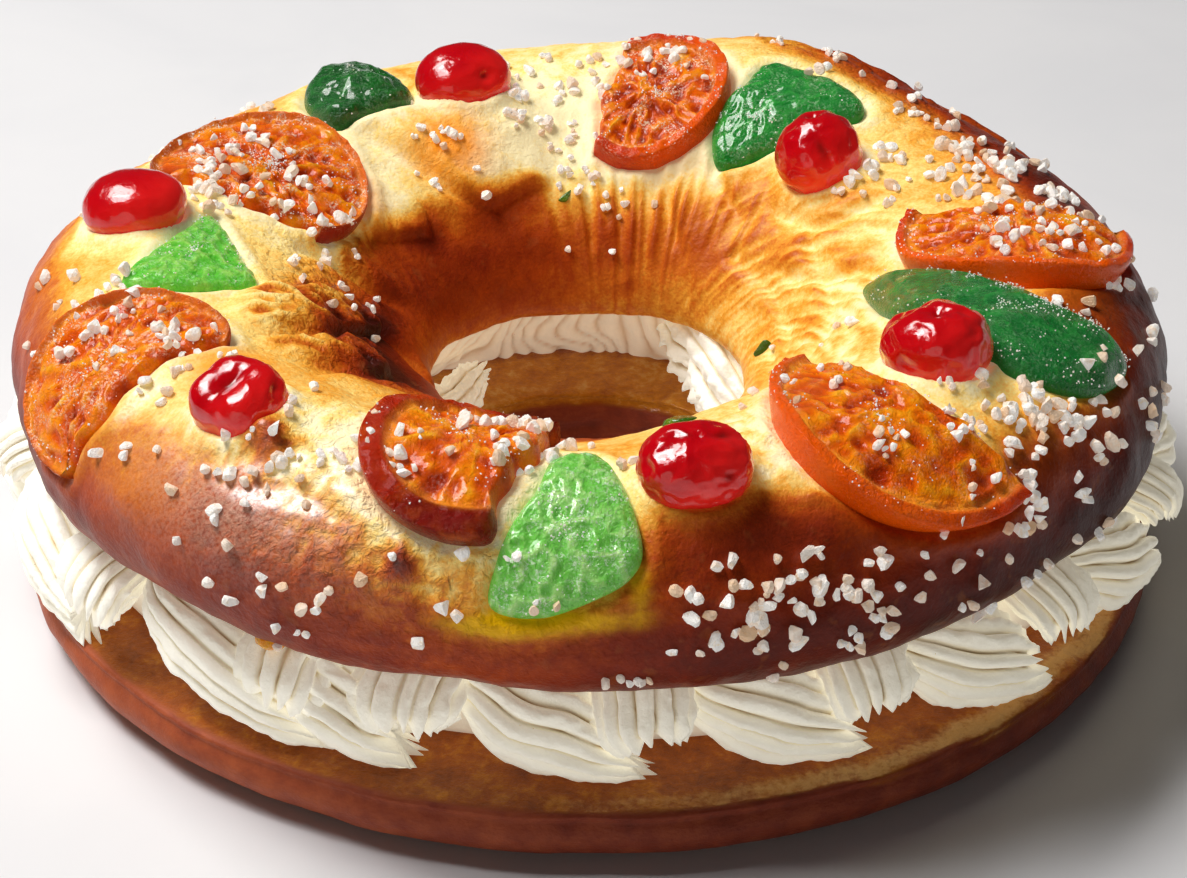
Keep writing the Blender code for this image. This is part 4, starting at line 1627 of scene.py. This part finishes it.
@dataclass
class BottomBun:
    """The bottom bun: a level, moist cut face on a browned crust."""

    section: tuple = (
        (84, 0), (116, 0), (124.5, 2.8), (128, 7.6), (126.9, 11.8), (122.4, 14.4),
        (84, 14.5), (46, 14.4), (41.6, 12.4), (38.6, 8), (37, 3), (41, 0),
    )
    rows: int = 560
    columns_per_point: int = 7
    rim: float = 123.6
    cut_from: float = 10.6
    cut_level: float = 12.4
    waist: float = 6.0

    def dress(self, placing: Placing) -> None:
        """Makes the bun."""
        knots = np.linspace(0, len(self.section), len(self.section) * self.columns_per_point,
                            endpoint=False)
        outline = smooth_curve(self.section, knots, True)
        angle = (np.arange(self.rows) * TURN / self.rows)[:, None]
        radius, level = outline[:, 0][None, :], outline[:, 1][None, :]
        flat = around(angle, radius * DOUGH.oval_scale(angle), level)
        rim = self.rim + 1.2 * np.cos(np.radians(angle - 325.0)) + 0.8 * RELIEF.at(flat, 12.0)
        rim = rim + 1.8 * bell(turn_between(angle, 222.0), 36.0)
        rim = rim + 1.6 * bell(turn_between(angle, 315.0), 34.0)
        cut = ease(level, self.cut_from, self.cut_level) * ease(rim - radius, -0.6, 0.6) + 0.0 * angle
        lumps = RELIEF.layered(flat, 14.0)
        fibres = 0.5 - 1.4 * np.abs(RELIEF.layered(flat * np.array([1.0, 1.0, 2.0]), 4.0))
        sag = cut * (0.30 * fibres + 0.35 * lumps - 0.45)
        bulge = (1.0 - cut) * 0.5 * lumps * ease(level, 0.5, 4.0)
        step = bell(rim - radius - 2.6 - 1.6 * lumps, 2.2) * cut
        step = step * (0.2 + 0.9 * bell(turn_between(angle, 318.0), 30.0))
        crease = bell(level - self.waist - 1.2 * lumps, 0.7) * (radius < 60)
        points = around(angle, (radius + bulge + crease) * DOUGH.oval_scale(angle),
                        level + sag + 0.35 * step)
        sheet = MeshSheet(
            points.reshape(-1, 3),
            [MeshSheet.grid_faces(self.rows, len(outline), True, True)],
            {"cut": cut.ravel(), "edge": step.ravel(),
             "deep": (ease(66.0 - radius, 0.0, 6.0) * cut).ravel(),
             # Painted light on the crust at the left.
             "pale": (0.4 * bell(turn_between(angle, 212.0), 34.0) + 0 * radius).ravel()},
        )
        sheet.make("bottom_bun", placing, BottomFinish().build(), "bottom_bun", "base")


# ---- piped cream


@dataclass(frozen=True)
class Stroke:
    """A stroke of piped cream: a rope with a star section that ends in torn tips.

    Attributes:
        path: The middle of the rope, as rows of (angle, radius, height).
        outward: Half the rope's width away from the ring's axis, at each point.
        tall: Half its width the other way, at each point.
        ridges: How many ridges its section has.
        depth: The valleys' depth, as a share of the size.
        tips: How far the ridges' ends are pulled out, in millimetres.
        seed: What its small accidents are drawn from.
    """

    path: tuple
    outward: tuple
    tall: tuple
    ridges: int
    depth: float
    tips: float
    seed: int
    steps: int = 50
    points_round: int = 124
    twist: float = 0.6
    ragged: float = 0.36
    slant: float = 0.0
    opening: float = 0.10
    ending: float = 0.74

    def sheet(self) -> MeshSheet:
        """Returns the stroke's mesh."""
        draw = np.random.default_rng(self.seed)
        time = np.linspace(0.0, len(self.path) - 1, self.steps)
        share = (time / time[-1])[:, None]
        route = smooth_curve(self.path, time, False)
        centre = around(route[:, 0], route[:, 1], route[:, 2])
        forward = unit(np.gradient(centre, axis=0))
        away = centre * np.array([1.0, 1.0, 0.0])
        side = unit(away - forward * np.einsum("ij,ij->i", away, forward)[:, None])
        if abs(unit(away)[len(away) // 2] @ forward[len(away) // 2]) > 0.5:
            # A rope that runs outwards has no side away from the axis: its upper side serves.
            along_ring = unit(np.cross(np.array([0.0, 0.0, 1.0]), away))
            side = unit(np.cross(along_ring, forward))
            side = side * np.sign(side[:, 2:3] + 1e-6)
        up = np.cross(forward, side)
        spin_degrees = np.arange(self.points_round) * TURN / self.points_round
        spin = np.radians(spin_degrees)
        wander = 0.55 * RELIEF.at(around(spin_degrees, 2.0, share * 2.0 + self.seed), 1.0)
        phase = spin[None, :] * self.ridges / 2 + self.twist * share + wander
        phase = phase + draw.uniform(0.0, math.pi)
        crest = np.abs(np.cos(phase)) ** 0.55
        ridge = np.floor(phase / math.pi + 0.5)
        size = 1.0 + 0.07 * RELIEF.at(spaced(ridge * 1.7, share * 3.0, self.seed * 3.1), 1.0)
        star = (1.0 - self.depth * (1.0 - crest)) * size
        outward = np.interp(time, np.arange(len(self.outward)), self.outward)[:, None]
        tall = np.interp(time, np.arange(len(self.tall)), self.tall)[:, None]
        ending = ease(share, self.ending, 1.0)
        unopened = (1.0 - share / self.opening).clip(0.0)
        star = star * (1.0 - 0.30 * ending**2) * np.sqrt(np.clip(1.0 - unopened**2, 0.03, 1.0))
        spread = (outward * star * np.cos(spin))[..., None] * side[:, None, :]
        rise = (tall * star * np.sin(spin))[..., None] * up[:, None, :]
        peak = np.abs(np.cos(phase)) ** 2.2
        torn = 0.75 + 0.6 * RELIEF.at(spaced(ridge * 2.3, 0.0, self.seed * 1.7), 1.0)
        pulled = self.tips * ending * (peak * torn - 0.45 * (1.0 - peak))
        pulled = pulled + self.slant * ending * np.sin(spin)
        points = centre[:, None, :] + spread + rise + forward[:, None, :] * pulled[..., None]
        outwards = unit(spread + rise)
        low = ease(-np.sin(spin), 0.2, 0.8) * np.ones_like(share)
        rough = self.ragged * (RELIEF.at(points, 1.5) * (0.25 + (0.75 + 1.1 * low) * peak)
                               + 1.2 * RELIEF.at(points, 5.0))
        points = squeezed(points + outwards * rough[..., None])
        # The valley value sets where painted shade falls on the cream.
        values = {"valley": np.clip(1.0 - crest, 0, 1) + 0 * share, "shade": 0 * crest}
        return MeshSheet.capped(points, squeezed(centre[0] - forward[0]),
                                squeezed(centre[-1] - forward[-1] * 1.5), values)


def squeezed(points: Array) -> Array:
    """Returns cream kept between the two buns."""
    radius = np.hypot(points[..., 0], points[..., 1])
    floor = np.interp(radius, [122.0, 127.0], [15.0, 12.5])
    roof = np.interp(radius, [30.0, 36.0, 40.0, 112.0, 123.0, 130.0],
                     [46.0, 43.0, 38.0, 38.3, 42.0, 52.0])
    level = np.minimum(np.maximum(points[..., 2], floor), roof)
    return spaced(points[..., 0], points[..., 1], level)


@dataclass
class Cream:
    """The piped cream between the buns."""

    strokes: tuple = (
        # Where a long stroke starts, its length and where the ruffle beside it is, in degrees.
        (194.0, 17.0, 214.0), (220.0, 22.0, 238.3), (237.5, 13.5, 252.4), (257.0, 17.0, 275.7),
        (280.3, 16.6, 298.9), (303.6, 15.6, 322.3), (326.9, 17.0, 345.6), (350.2, 17.0, 8.9),
        (13.5, 18.0, 33.3), (38.3, 18.0, 58.1), (63.1, 18.0, 82.9), (87.9, 18.0, 107.7),
        (112.7, 18.0, 132.5), (138.5, 20.0, 160.0), (166.0, 20.0, 187.5),
    )
    side_swell: float = 13.0
    back_swell: float = 5.0
    bottom: float = 14.9
    top: float = 38.0
    core_radius: float = 104.5
    hole_radius: float = 45.0
    hole_recess: float = 17.0
    rows: int = 720
    levels: int = 16

    def swell(self, angle: Any) -> Any:
        """Returns how far the cream bulges out here beyond the front."""
        turn = np.radians(angle)
        return self.side_swell * np.cos(turn) ** 2 + self.back_swell * (0.5 + 0.5 * np.sin(turn))

    def sweep(self, start: float, length: float, seed: int) -> Stroke:
        """Returns one long stroke, which runs round the ring and down to torn tips."""
        draw = np.random.default_rng(seed)
        shares = (-0.07, 0.14, 0.37, 0.61, 0.82, 1.0)
        radii = (104.0, 107.5, 109.8, 110.8, 111.5, 112.5)
        heights = (34.0, 31.5, 28.2, 25.2, 22.4, 19.6)
        outward = (3.5, 7.6, 9.6, 9.6, 8.6, 6.6)
        tall = (3.8, 7.6, 10.6, 10.6, 8.6, 6.0)
        path = []
        for share, radius, height in zip(shares, radii, heights):
            angle = start + share * length
            path.append((angle, radius + self.swell(angle) + draw.uniform(-0.6, 0.6),
                         height + draw.uniform(-0.5, 0.5)))
        smooth = bell(turn_between(start, 215.0), 18.0)
        return Stroke(tuple(path), outward, tall, 14, 0.32 - 0.14 * smooth, 4.0, seed, slant=4.5)

    def ruffle(self, middle: float, seed: int) -> Stroke:
        """Returns a short group of ridges that comes out from under the crust."""
        draw = np.random.default_rng(seed)
        angle = middle + draw.uniform(-0.7, 0.7)
        swell = self.swell(angle)
        radii = (93.0, 104.0, 111.5, 115.2, 116.4)
        heights = (33.0, 34.2, 33.0, 30.2, 27.0)
        path = tuple((angle + draw.uniform(-0.4, 0.4), radius + swell, height)
                     for radius, height in zip(radii, heights))
        wide = 1.0 + 0.22 * bell(turn_between(angle, 232.0), 26.0)
        tall = tuple(wide * half for half in (7.0, 9.2, 10.4, 10.4, 9.6))
        return Stroke(path, (4.5, 5.8, 6.2, 5.8, 4.8), tall, 15, 0.30, 2.8, seed, 36, 128,
                      0.3, 0.42)

    def curl(self) -> Stroke:
        """Returns the small torn curl at the front left, where a stroke was broken off."""
        return Stroke(((244.0, 104, 33), (244.0, 110, 35.5), (244.4, 115.5, 37.5)),
                      (3.0, 4.0, 3.4), (4.5, 6.0, 5.4), 11, 0.40, 3.5, 399, 26, 80, 0.5, 0.9)

    def core_sheet(self) -> MeshSheet:
        """Returns the smooth body of cream behind the strokes, ridged in the hole."""
        angle = (np.arange(self.rows) * TURN / self.rows)[:, None]
        level = np.linspace(0.0, 1.0, self.levels)
        outer = self.core_radius + self.swell(angle) - 2.5 * (2 * level - 1) ** 2
        right = bell(turn_between(angle, 10.0), 32.0)
        left = bell(turn_between(angle, 200.0), 24.0)
        recess = self.hole_recess * (1.0 - 0.85 * np.maximum(right, left))
        inner = self.hole_radius + recess * (1.0 - level) ** 1.3
        flat = around(angle, inner, level * 9.0)
        phase = angle * 0.36 + 3.4 * RELIEF.at(flat, 12.0) + level * 0.9
        crest = np.abs(np.cos(phase * math.pi / 2)) ** 0.8
        inner = inner - 1.2 * crest + 1.0 * RELIEF.at(flat, 2.4) + 1.3 * RELIEF.at(flat, 6.0)
        radius = np.concatenate([outer, inner[:, ::-1]], axis=1)
        height = self.bottom + (self.top - self.bottom) * np.concatenate([level, level[::-1]])
        # Painted shade: the core's outside takes a fixed share, and the hole side more in the valleys
        # of its ridges.
        valley = np.concatenate([0 * outer + 0.3, 0.62 - 0.46 * crest[:, ::-1]], axis=1)
        back = bell(turn_between(angle, 95.0), 55.0)
        shade = np.concatenate([0 * outer + 0.15, 0 * inner + 0.34 + 0.30 * back], axis=1)
        return MeshSheet(
            around(angle, radius, height).reshape(-1, 3),
            [MeshSheet.grid_faces(self.rows, radius.shape[1], True, True)],
            {"valley": valley.ravel(), "shade": shade.ravel()},
        )

    def hole_strokes(self) -> list[Stroke]:
        """Returns the lumps of cream that are pressed out into the hole."""
        return [
            Stroke(((68, 51, 33), (55, 46, 31), (40, 41, 29), (22, 39, 27), (4, 41, 25)),
                   (4.5, 7.6, 8.0, 7.0, 4.0), (6.5, 10.5, 12.0, 10.5, 6.0), 11, 0.26, 2.0, 501,
                   64, 96, 0.9, 1.3),
            Stroke(((54, 48, 23), (42, 43, 21), (28, 41, 20), (10, 42, 19)),
                   (3.5, 5.2, 5.5, 3.5), (4.0, 5.5, 5.5, 4.0), 9, 0.22, 1.5, 502,
                   44, 72, 0.9, 1.2),
            Stroke(((166, 45, 21), (152, 42, 20), (138, 43, 20), (125, 48, 20)),
                   (3.5, 5.4, 5.8, 3.5), (4.0, 5.8, 6.0, 4.0), 10, 0.24, 1.5, 503,
                   44, 72, 0.9, 1.2),
        ]

    def dress(self, placing: Placing) -> None:
        """Makes the cream."""
        finish = CreamFinish().build()
        self.core_sheet().make("cream_core", placing, finish, "cream", "cream")
        groups = {
            "cream_sweeps": [self.sweep(start, length, 100 + number)
                             for number, (start, length, _) in enumerate(self.strokes)],
            "cream_ruffles": [self.ruffle(middle, 200 + number)
                              for number, (_, _, middle) in enumerate(self.strokes)]
            + [self.curl()],
            "cream_in_hole": self.hole_strokes(),
        }
        for name, strokes in groups.items():
            sheet = MeshSheet.joined(stroke.sheet() for stroke in strokes)
            sheet.make(name, placing, finish, "cream", "cream")


# ---- sugar


def random_turns(draw: np.random.Generator, *count: int) -> Array:
    """Returns random rotations, as matrices."""
    turns = np.linalg.qr(draw.normal(size=(*count, 3, 3)))[0]
    return turns * np.sign(np.linalg.det(turns))[..., None, None]


@dataclass(frozen=True)
class Sprinkle(Spot):
    """A patch of sugar grains on the crust; the amount is their number."""

    size: float = 2.5


@dataclass
class Sugar:
    """Coarse sugar on the crust and the fruit, and fine crystals on the fruit."""

    crust: Crust
    fruit: Fruit
    patches: tuple = rows_of(
        Sprinkle,
        (320, 15, 4, 11, 32), (326, 28, 6, 8, 20), (315, 30, 5, 8, 12), (289, 36, 8, 8, 38),
        (297, 43, 7, 6, 14), (283, 47, 4, 6, 8), (274, 53, 5, 3, 4), (104, -14, 6, 14, 34),
        (96, -34, 8, 10, 18, 2.0), (87, -50, 10, 10, 14, 1.8), (125, -34, 10, 10, 14, 2.0),
        (20, -2, 9, 8, 46), (38, 2, 8, 7, 22), (28, -22, 6, 8, 18), (10, 12, 8, 5, 20),
        (354, 14, 8, 6, 16), (60, 8, 6, 6, 8, 2.0), (165, -34, 6, 8, 20),
        (185, -44, 8, 10, 12, 2.2), (172, -8, 5, 8, 22), (202, 12, 5, 10, 14),
        (234, 22, 7, 9, 26, 2.2), (244, 40, 10, 9, 10, 2.2), (228, 4, 5, 6, 10),
        (250, 14, 6, 10, 14), (258, 34, 6, 8, 10), (262, -8, 6, 6, 26), (264, 10, 5, 6, 10),
        (215, 8, 6, 8, 30, 2.3), (160, -8, 8, 8, 30, 2.3), (78, -10, 8, 8, 34, 2.3),
        (306, 14, 6, 5, 22, 2.0), (358, -2, 7, 7, 30, 2.3), (300, -8, 8, 8, 12, 2.0),
        (345, -44, 10, 10, 8, 1.8), (310, 48, 14, 10, 16), (340, 40, 12, 10, 14),
        (150, 14, 12, 8, 10), (190, 24, 12, 10, 8),
    )
    CORNER_GAP: ClassVar[float] = 1.1
    SIDE: ClassVar[float] = 0.65
    cuts: int = 9
    pairs: float = 0.35
    raised: float = 0.30
    grain_size: float = 0.62
    crystals: int = 3600
    seed: int = 7

    def grain_points(self, draw: np.random.Generator, shape: Array) -> Array:
        """Returns one grain of size 1: a ball cut flat on many sides."""
        points = shape * draw.uniform(0.75, 1.3, 3)
        for _ in range(self.cuts):
            facing = unit(draw.normal(size=3))
            beyond = np.maximum(points @ facing - draw.uniform(0.38, 0.8), 0.0)
            points = points - beyond[:, None] * facing
        return points

    @staticmethod
    def ball() -> tuple[Array, Array]:
        """Returns the points and the triangles of a ball of 80 faces."""
        golden = (1.0 + math.sqrt(5.0)) / 2
        corners = [(-1, golden, 0), (1, golden, 0), (-1, -golden, 0), (1, -golden, 0)]
        corners = corners + [(c, a, b) for a, b, c in corners] + [(b, c, a) for a, b, c in corners]
        points = unit(np.array(corners, float))
        middles = [unit(first + second) for first, second in combinations(points, 2)
                   if np.linalg.norm(first - second) < Sugar.CORNER_GAP]
        points = np.concatenate([points, middles])
        gap = np.linalg.norm(points[:, None] - points, axis=2)
        near = [set(np.flatnonzero(row < Sugar.SIDE)) for row in gap]
        faces = [(i, j, k) for i, j in combinations(range(len(points)), 2) if j in near[i]
                 for k in near[i] & near[j] if k > j]
        faces = [face if np.linalg.det(points[list(face)]) > 0 else face[::-1] for face in faces]
        return points, np.array(faces)

    def places(self, draw: np.random.Generator) -> tuple[Array, Array, Array]:
        """Returns the angle, the distance across and the size of every grain."""
        rows = []
        for patch in self.patches:
            for _ in range(patch.amount):
                angle = patch.angle + draw.normal() * patch.spread_angle * 0.75
                across = patch.across + draw.normal() * patch.spread_across * 0.75
                size = patch.size * draw.uniform(0.65, 1.3)
                rows.append((angle, across, size))
                if draw.random() < self.pairs:
                    turn = draw.uniform(0, 2 * math.pi)
                    size = size * 0.8
                    rows.append((angle + size * math.cos(turn) / 1.6,
                                 across + size * math.sin(turn), size))
        return tuple(np.array(rows).T)

    def fruit_lift(self, angle: Array, across: Array) -> tuple[Array, Array]:
        """Returns the height of fruit over the crust, and whether a cherry is there."""
        lift = np.zeros(len(angle))
        for item in (*self.fruit.leaves, *self.fruit.slices):
            inside = item.outline().gap(angle, across) < -0.5
            level = item.thickness - getattr(item, "hollow", 0.0)
            lift = np.where(inside, np.maximum(lift, level), lift)
        on_cherry = np.zeros(len(angle), bool)
        for cherry in self.fruit.cherries:
            on_cherry |= cherry.outline().gap(angle, across) < 1.0
        return lift, on_cherry

    def grains(self, placing: Placing, material: Material) -> None:
        """Makes the coarse grains."""
        draw = np.random.default_rng(self.seed)
        shape, faces = self.ball()
        angle, across, size = self.places(draw)
        lift, on_cherry = self.fruit_lift(angle, across)
        height = np.where(lift > 0, lift, self.crust.relief(angle, across)[0])
        feet = DOUGH.surface(angle, across, height + self.raised * size)
        sheets = []
        for foot, width, skip in zip(feet, size, on_cherry):
            points = self.grain_points(draw, shape)
            turn = random_turns(draw)
            if skip:
                continue
            baked = 0.8 * draw.uniform(0.0, 1.0) ** 3
            sheets.append(MeshSheet(foot + points @ turn * width * self.grain_size, [faces],
                                    {"baked": np.full(len(points), baked)}))
        MeshSheet.joined(sheets).make("sugar_grains", placing, material, "sugar", smooth=False)

    def bloom(self, placing: Placing, material: Material, sheets: list[MeshSheet]) -> None:
        """Makes the fine crystals that cling to the fruit."""
        draw = np.random.default_rng(self.seed + 1)
        tops = [sheet.points[sheet.values["top"] > 0.4] for sheet in sheets]
        places = np.concatenate(tops)
        share = np.repeat(self.fruit.frosting, [len(top) for top in tops])
        clumps = RELIEF.at(places, 5.0) + 0.6 * RELIEF.at(places, 2.0)
        chance = share * np.clip(clumps + 0.3, 0.02, 1.0) ** 2
        chosen = places[draw.choice(len(places), self.crystals, False, chance / chance.sum())]
        chosen = chosen + draw.normal(size=chosen.shape) * 0.35
        corner = np.array([(1, 0, 0), (0, 1, 0), (-1, 0, 0), (0, -1, 0), (0, 0, 1), (0, 0, -1)],
                          float)
        faces = np.array([(0, 1, 4), (1, 2, 4), (2, 3, 4), (3, 0, 4),
                          (1, 0, 5), (2, 1, 5), (3, 2, 5), (0, 3, 5)])
        turns = random_turns(draw, len(chosen))
        size = draw.uniform(0.10, 0.28, (len(chosen), 1, 1))
        size = size * draw.uniform(0.7, 1.3, (len(chosen), 1, 3))
        points = chosen[:, None, :] + (corner * size) @ turns
        joined = (faces[None] + 6 * np.arange(len(chosen))[:, None, None]).reshape(-1, 3)
        sheet = MeshSheet(points.reshape(-1, 3), [joined], {"baked": np.zeros(len(chosen) * 6)})
        sheet.make("sugar_crystals", placing, material, "sugar", smooth=False)

    def dress(self, placing: Placing, sheets: list[MeshSheet]) -> None:
        """Makes all the sugar."""
        material = SugarFinish().build()
        self.grains(placing, material)
        self.bloom(placing, material, sheets)


# ---- studio


@dataclass(frozen=True)
class Lamp:
    """A square soft light that faces the ring.

    Attributes:
        azimuth: Degrees round from +X.
        elevation: Degrees above the table.
        distance: Metres from the ring's middle.
        side: The light's side in metres.
        power: Its power in watts.
    """

    name: str
    azimuth: float
    elevation: float
    distance: float
    side: float
    power: float
    colour: Colour = (1.0, 1.0, 1.0)

    def hang(self, placing: Placing) -> None:
        """Adds the light to the scene."""
        light = bpy.data.lights.new(self.name, "AREA")
        light.shape = "SQUARE"
        light.size = self.side
        light.energy = self.power
        light.color = self.colour
        lamp = bpy.data.objects.new(self.name, light)
        towards = Vector(around(self.azimuth, math.cos(math.radians(self.elevation)),
                                math.sin(math.radians(self.elevation))))
        lamp.location = Vector(placing.centre) + towards * self.distance
        lamp.rotation_euler = (-towards).to_track_quat("-Z", "Y").to_euler()
        bpy.context.scene.collection.objects.link(lamp)


@dataclass
class Studio:
    """The table top, the lights and the camera.

    Attributes:
        floor_side: The table top's side in metres.
        floor_gap: How far the table top is under the ring, in metres.
        room_light: The strength of the light from all round.
        aim: The place the camera faces, in ring millimetres.
        distance: How far the camera is from it, in millimetres.
        elevation: Degrees that the camera is above it.
        roll: Degrees that the camera is turned about its own axis.
        focal: The focal length, in the same steps as the image's width.
        sensor: The sensor's width in millimetres.
    """

    placing: Placing
    floor_side: float = 6.0
    floor_gap: float = 0.0002
    lamps: tuple = rows_of(
        Lamp,
        ("key", 147, 59, 2.44, 1.0, 39.0, (1.0, 0.985, 0.96)),
        ("side", 181, 62.7, 1.2, 0.41, 6.9),
        ("fill", 248, 9, 1.4, 0.9, 2.2, (1.0, 0.95, 0.86)),
    )
    room_colour: Colour = (0.95, 0.97, 1.0)
    room_light: float = 0.028
    aim: tuple = (1.0, 0.0, 25.2)
    distance: float = 640.0
    elevation: float = 30.7
    roll: float = 0.573
    image_width: int = 1187
    focal: float = 2758.0
    sensor: float = 36.0
    nearest: float = 0.05
    farthest: float = 20.0

    def lay_floor(self) -> None:
        """Makes the table top."""
        side = self.floor_side / 2
        mesh = bpy.data.meshes.new("floor")
        mesh.from_pydata([(-side, -side, 0), (side, -side, 0), (side, side, 0), (-side, side, 0)],
                         [], [(0, 1, 2, 3)])
        mesh.materials.append(FloorFinish().build())
        floor = bpy.data.objects.new("floor", mesh)
        floor.location.z = self.placing.centre[2] - self.floor_gap
        bpy.context.scene.collection.objects.link(floor)

    def light(self) -> None:
        """Hangs the lamps and sets the light of the room."""
        for lamp in self.lamps:
            lamp.hang(self.placing)
        world = bpy.data.worlds.new("studio")
        world.use_nodes = True
        backdrop = world.node_tree.nodes["Background"]
        backdrop.inputs["Color"].default_value = (*self.room_colour, 1.0)
        backdrop.inputs["Strength"].default_value = self.room_light
        bpy.context.scene.world = world

    def set_camera(self) -> None:
        """Places the camera."""
        tilt, roll = math.radians(self.elevation), math.radians(self.roll)
        forward = Vector((0.0, math.cos(tilt), -math.sin(tilt)))
        right = Vector((1.0, 0.0, 0.0))
        up = right.cross(forward)
        side = right * math.cos(roll) + up * math.sin(roll)
        top = up * math.cos(roll) - right * math.sin(roll)
        camera = bpy.data.cameras.new("camera")
        camera.sensor_width = self.sensor
        camera.lens = self.focal * self.sensor / self.image_width
        camera.clip_start, camera.clip_end = self.nearest, self.farthest
        holder = bpy.data.objects.new("camera", camera)
        aim = Vector(self.placing.world(np.array(self.aim)))
        turn = Matrix((side, top, -forward)).transposed().to_4x4()
        holder.matrix_world = Matrix.Translation(aim - forward * self.distance * MM) @ turn
        bpy.context.scene.collection.objects.link(holder)
        bpy.context.scene.camera = holder

    def set_up(self) -> None:
        """Makes everything round the ring."""
        self.lay_floor()
        self.light()
        self.set_camera()
        scene = bpy.context.scene
        scene.view_settings.view_transform = "Standard"
        scene.cycles.max_bounces = 5
        scene.cycles.diffuse_bounces = 2
        scene.cycles.glossy_bounces = 3
        scene.cycles.transmission_bounces = 4


def ring_placing() -> Placing:
    """Returns where the ring's axis stands, from the bottom bun's box."""
    low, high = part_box("base")
    return Placing(np.array([(low.x + high.x) / 2, (low.y + high.y) / 2, low.z]))


def main() -> None:
    """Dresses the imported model."""
    logging.basicConfig(level=logging.INFO, format="%(name)s %(message)s")
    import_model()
    placing = ring_placing()
    fruit = Fruit()
    crust = Crust(fruit.outlines(), len(fruit.cherries))
    crust.dress(placing)
    BottomBun().dress(placing)
    Cream().dress(placing)
    sheets = fruit.dress(placing)
    Sugar(crust, fruit).dress(placing, sheets)
    Studio(placing).set_up()


if __name__ == "__main__":
    main()
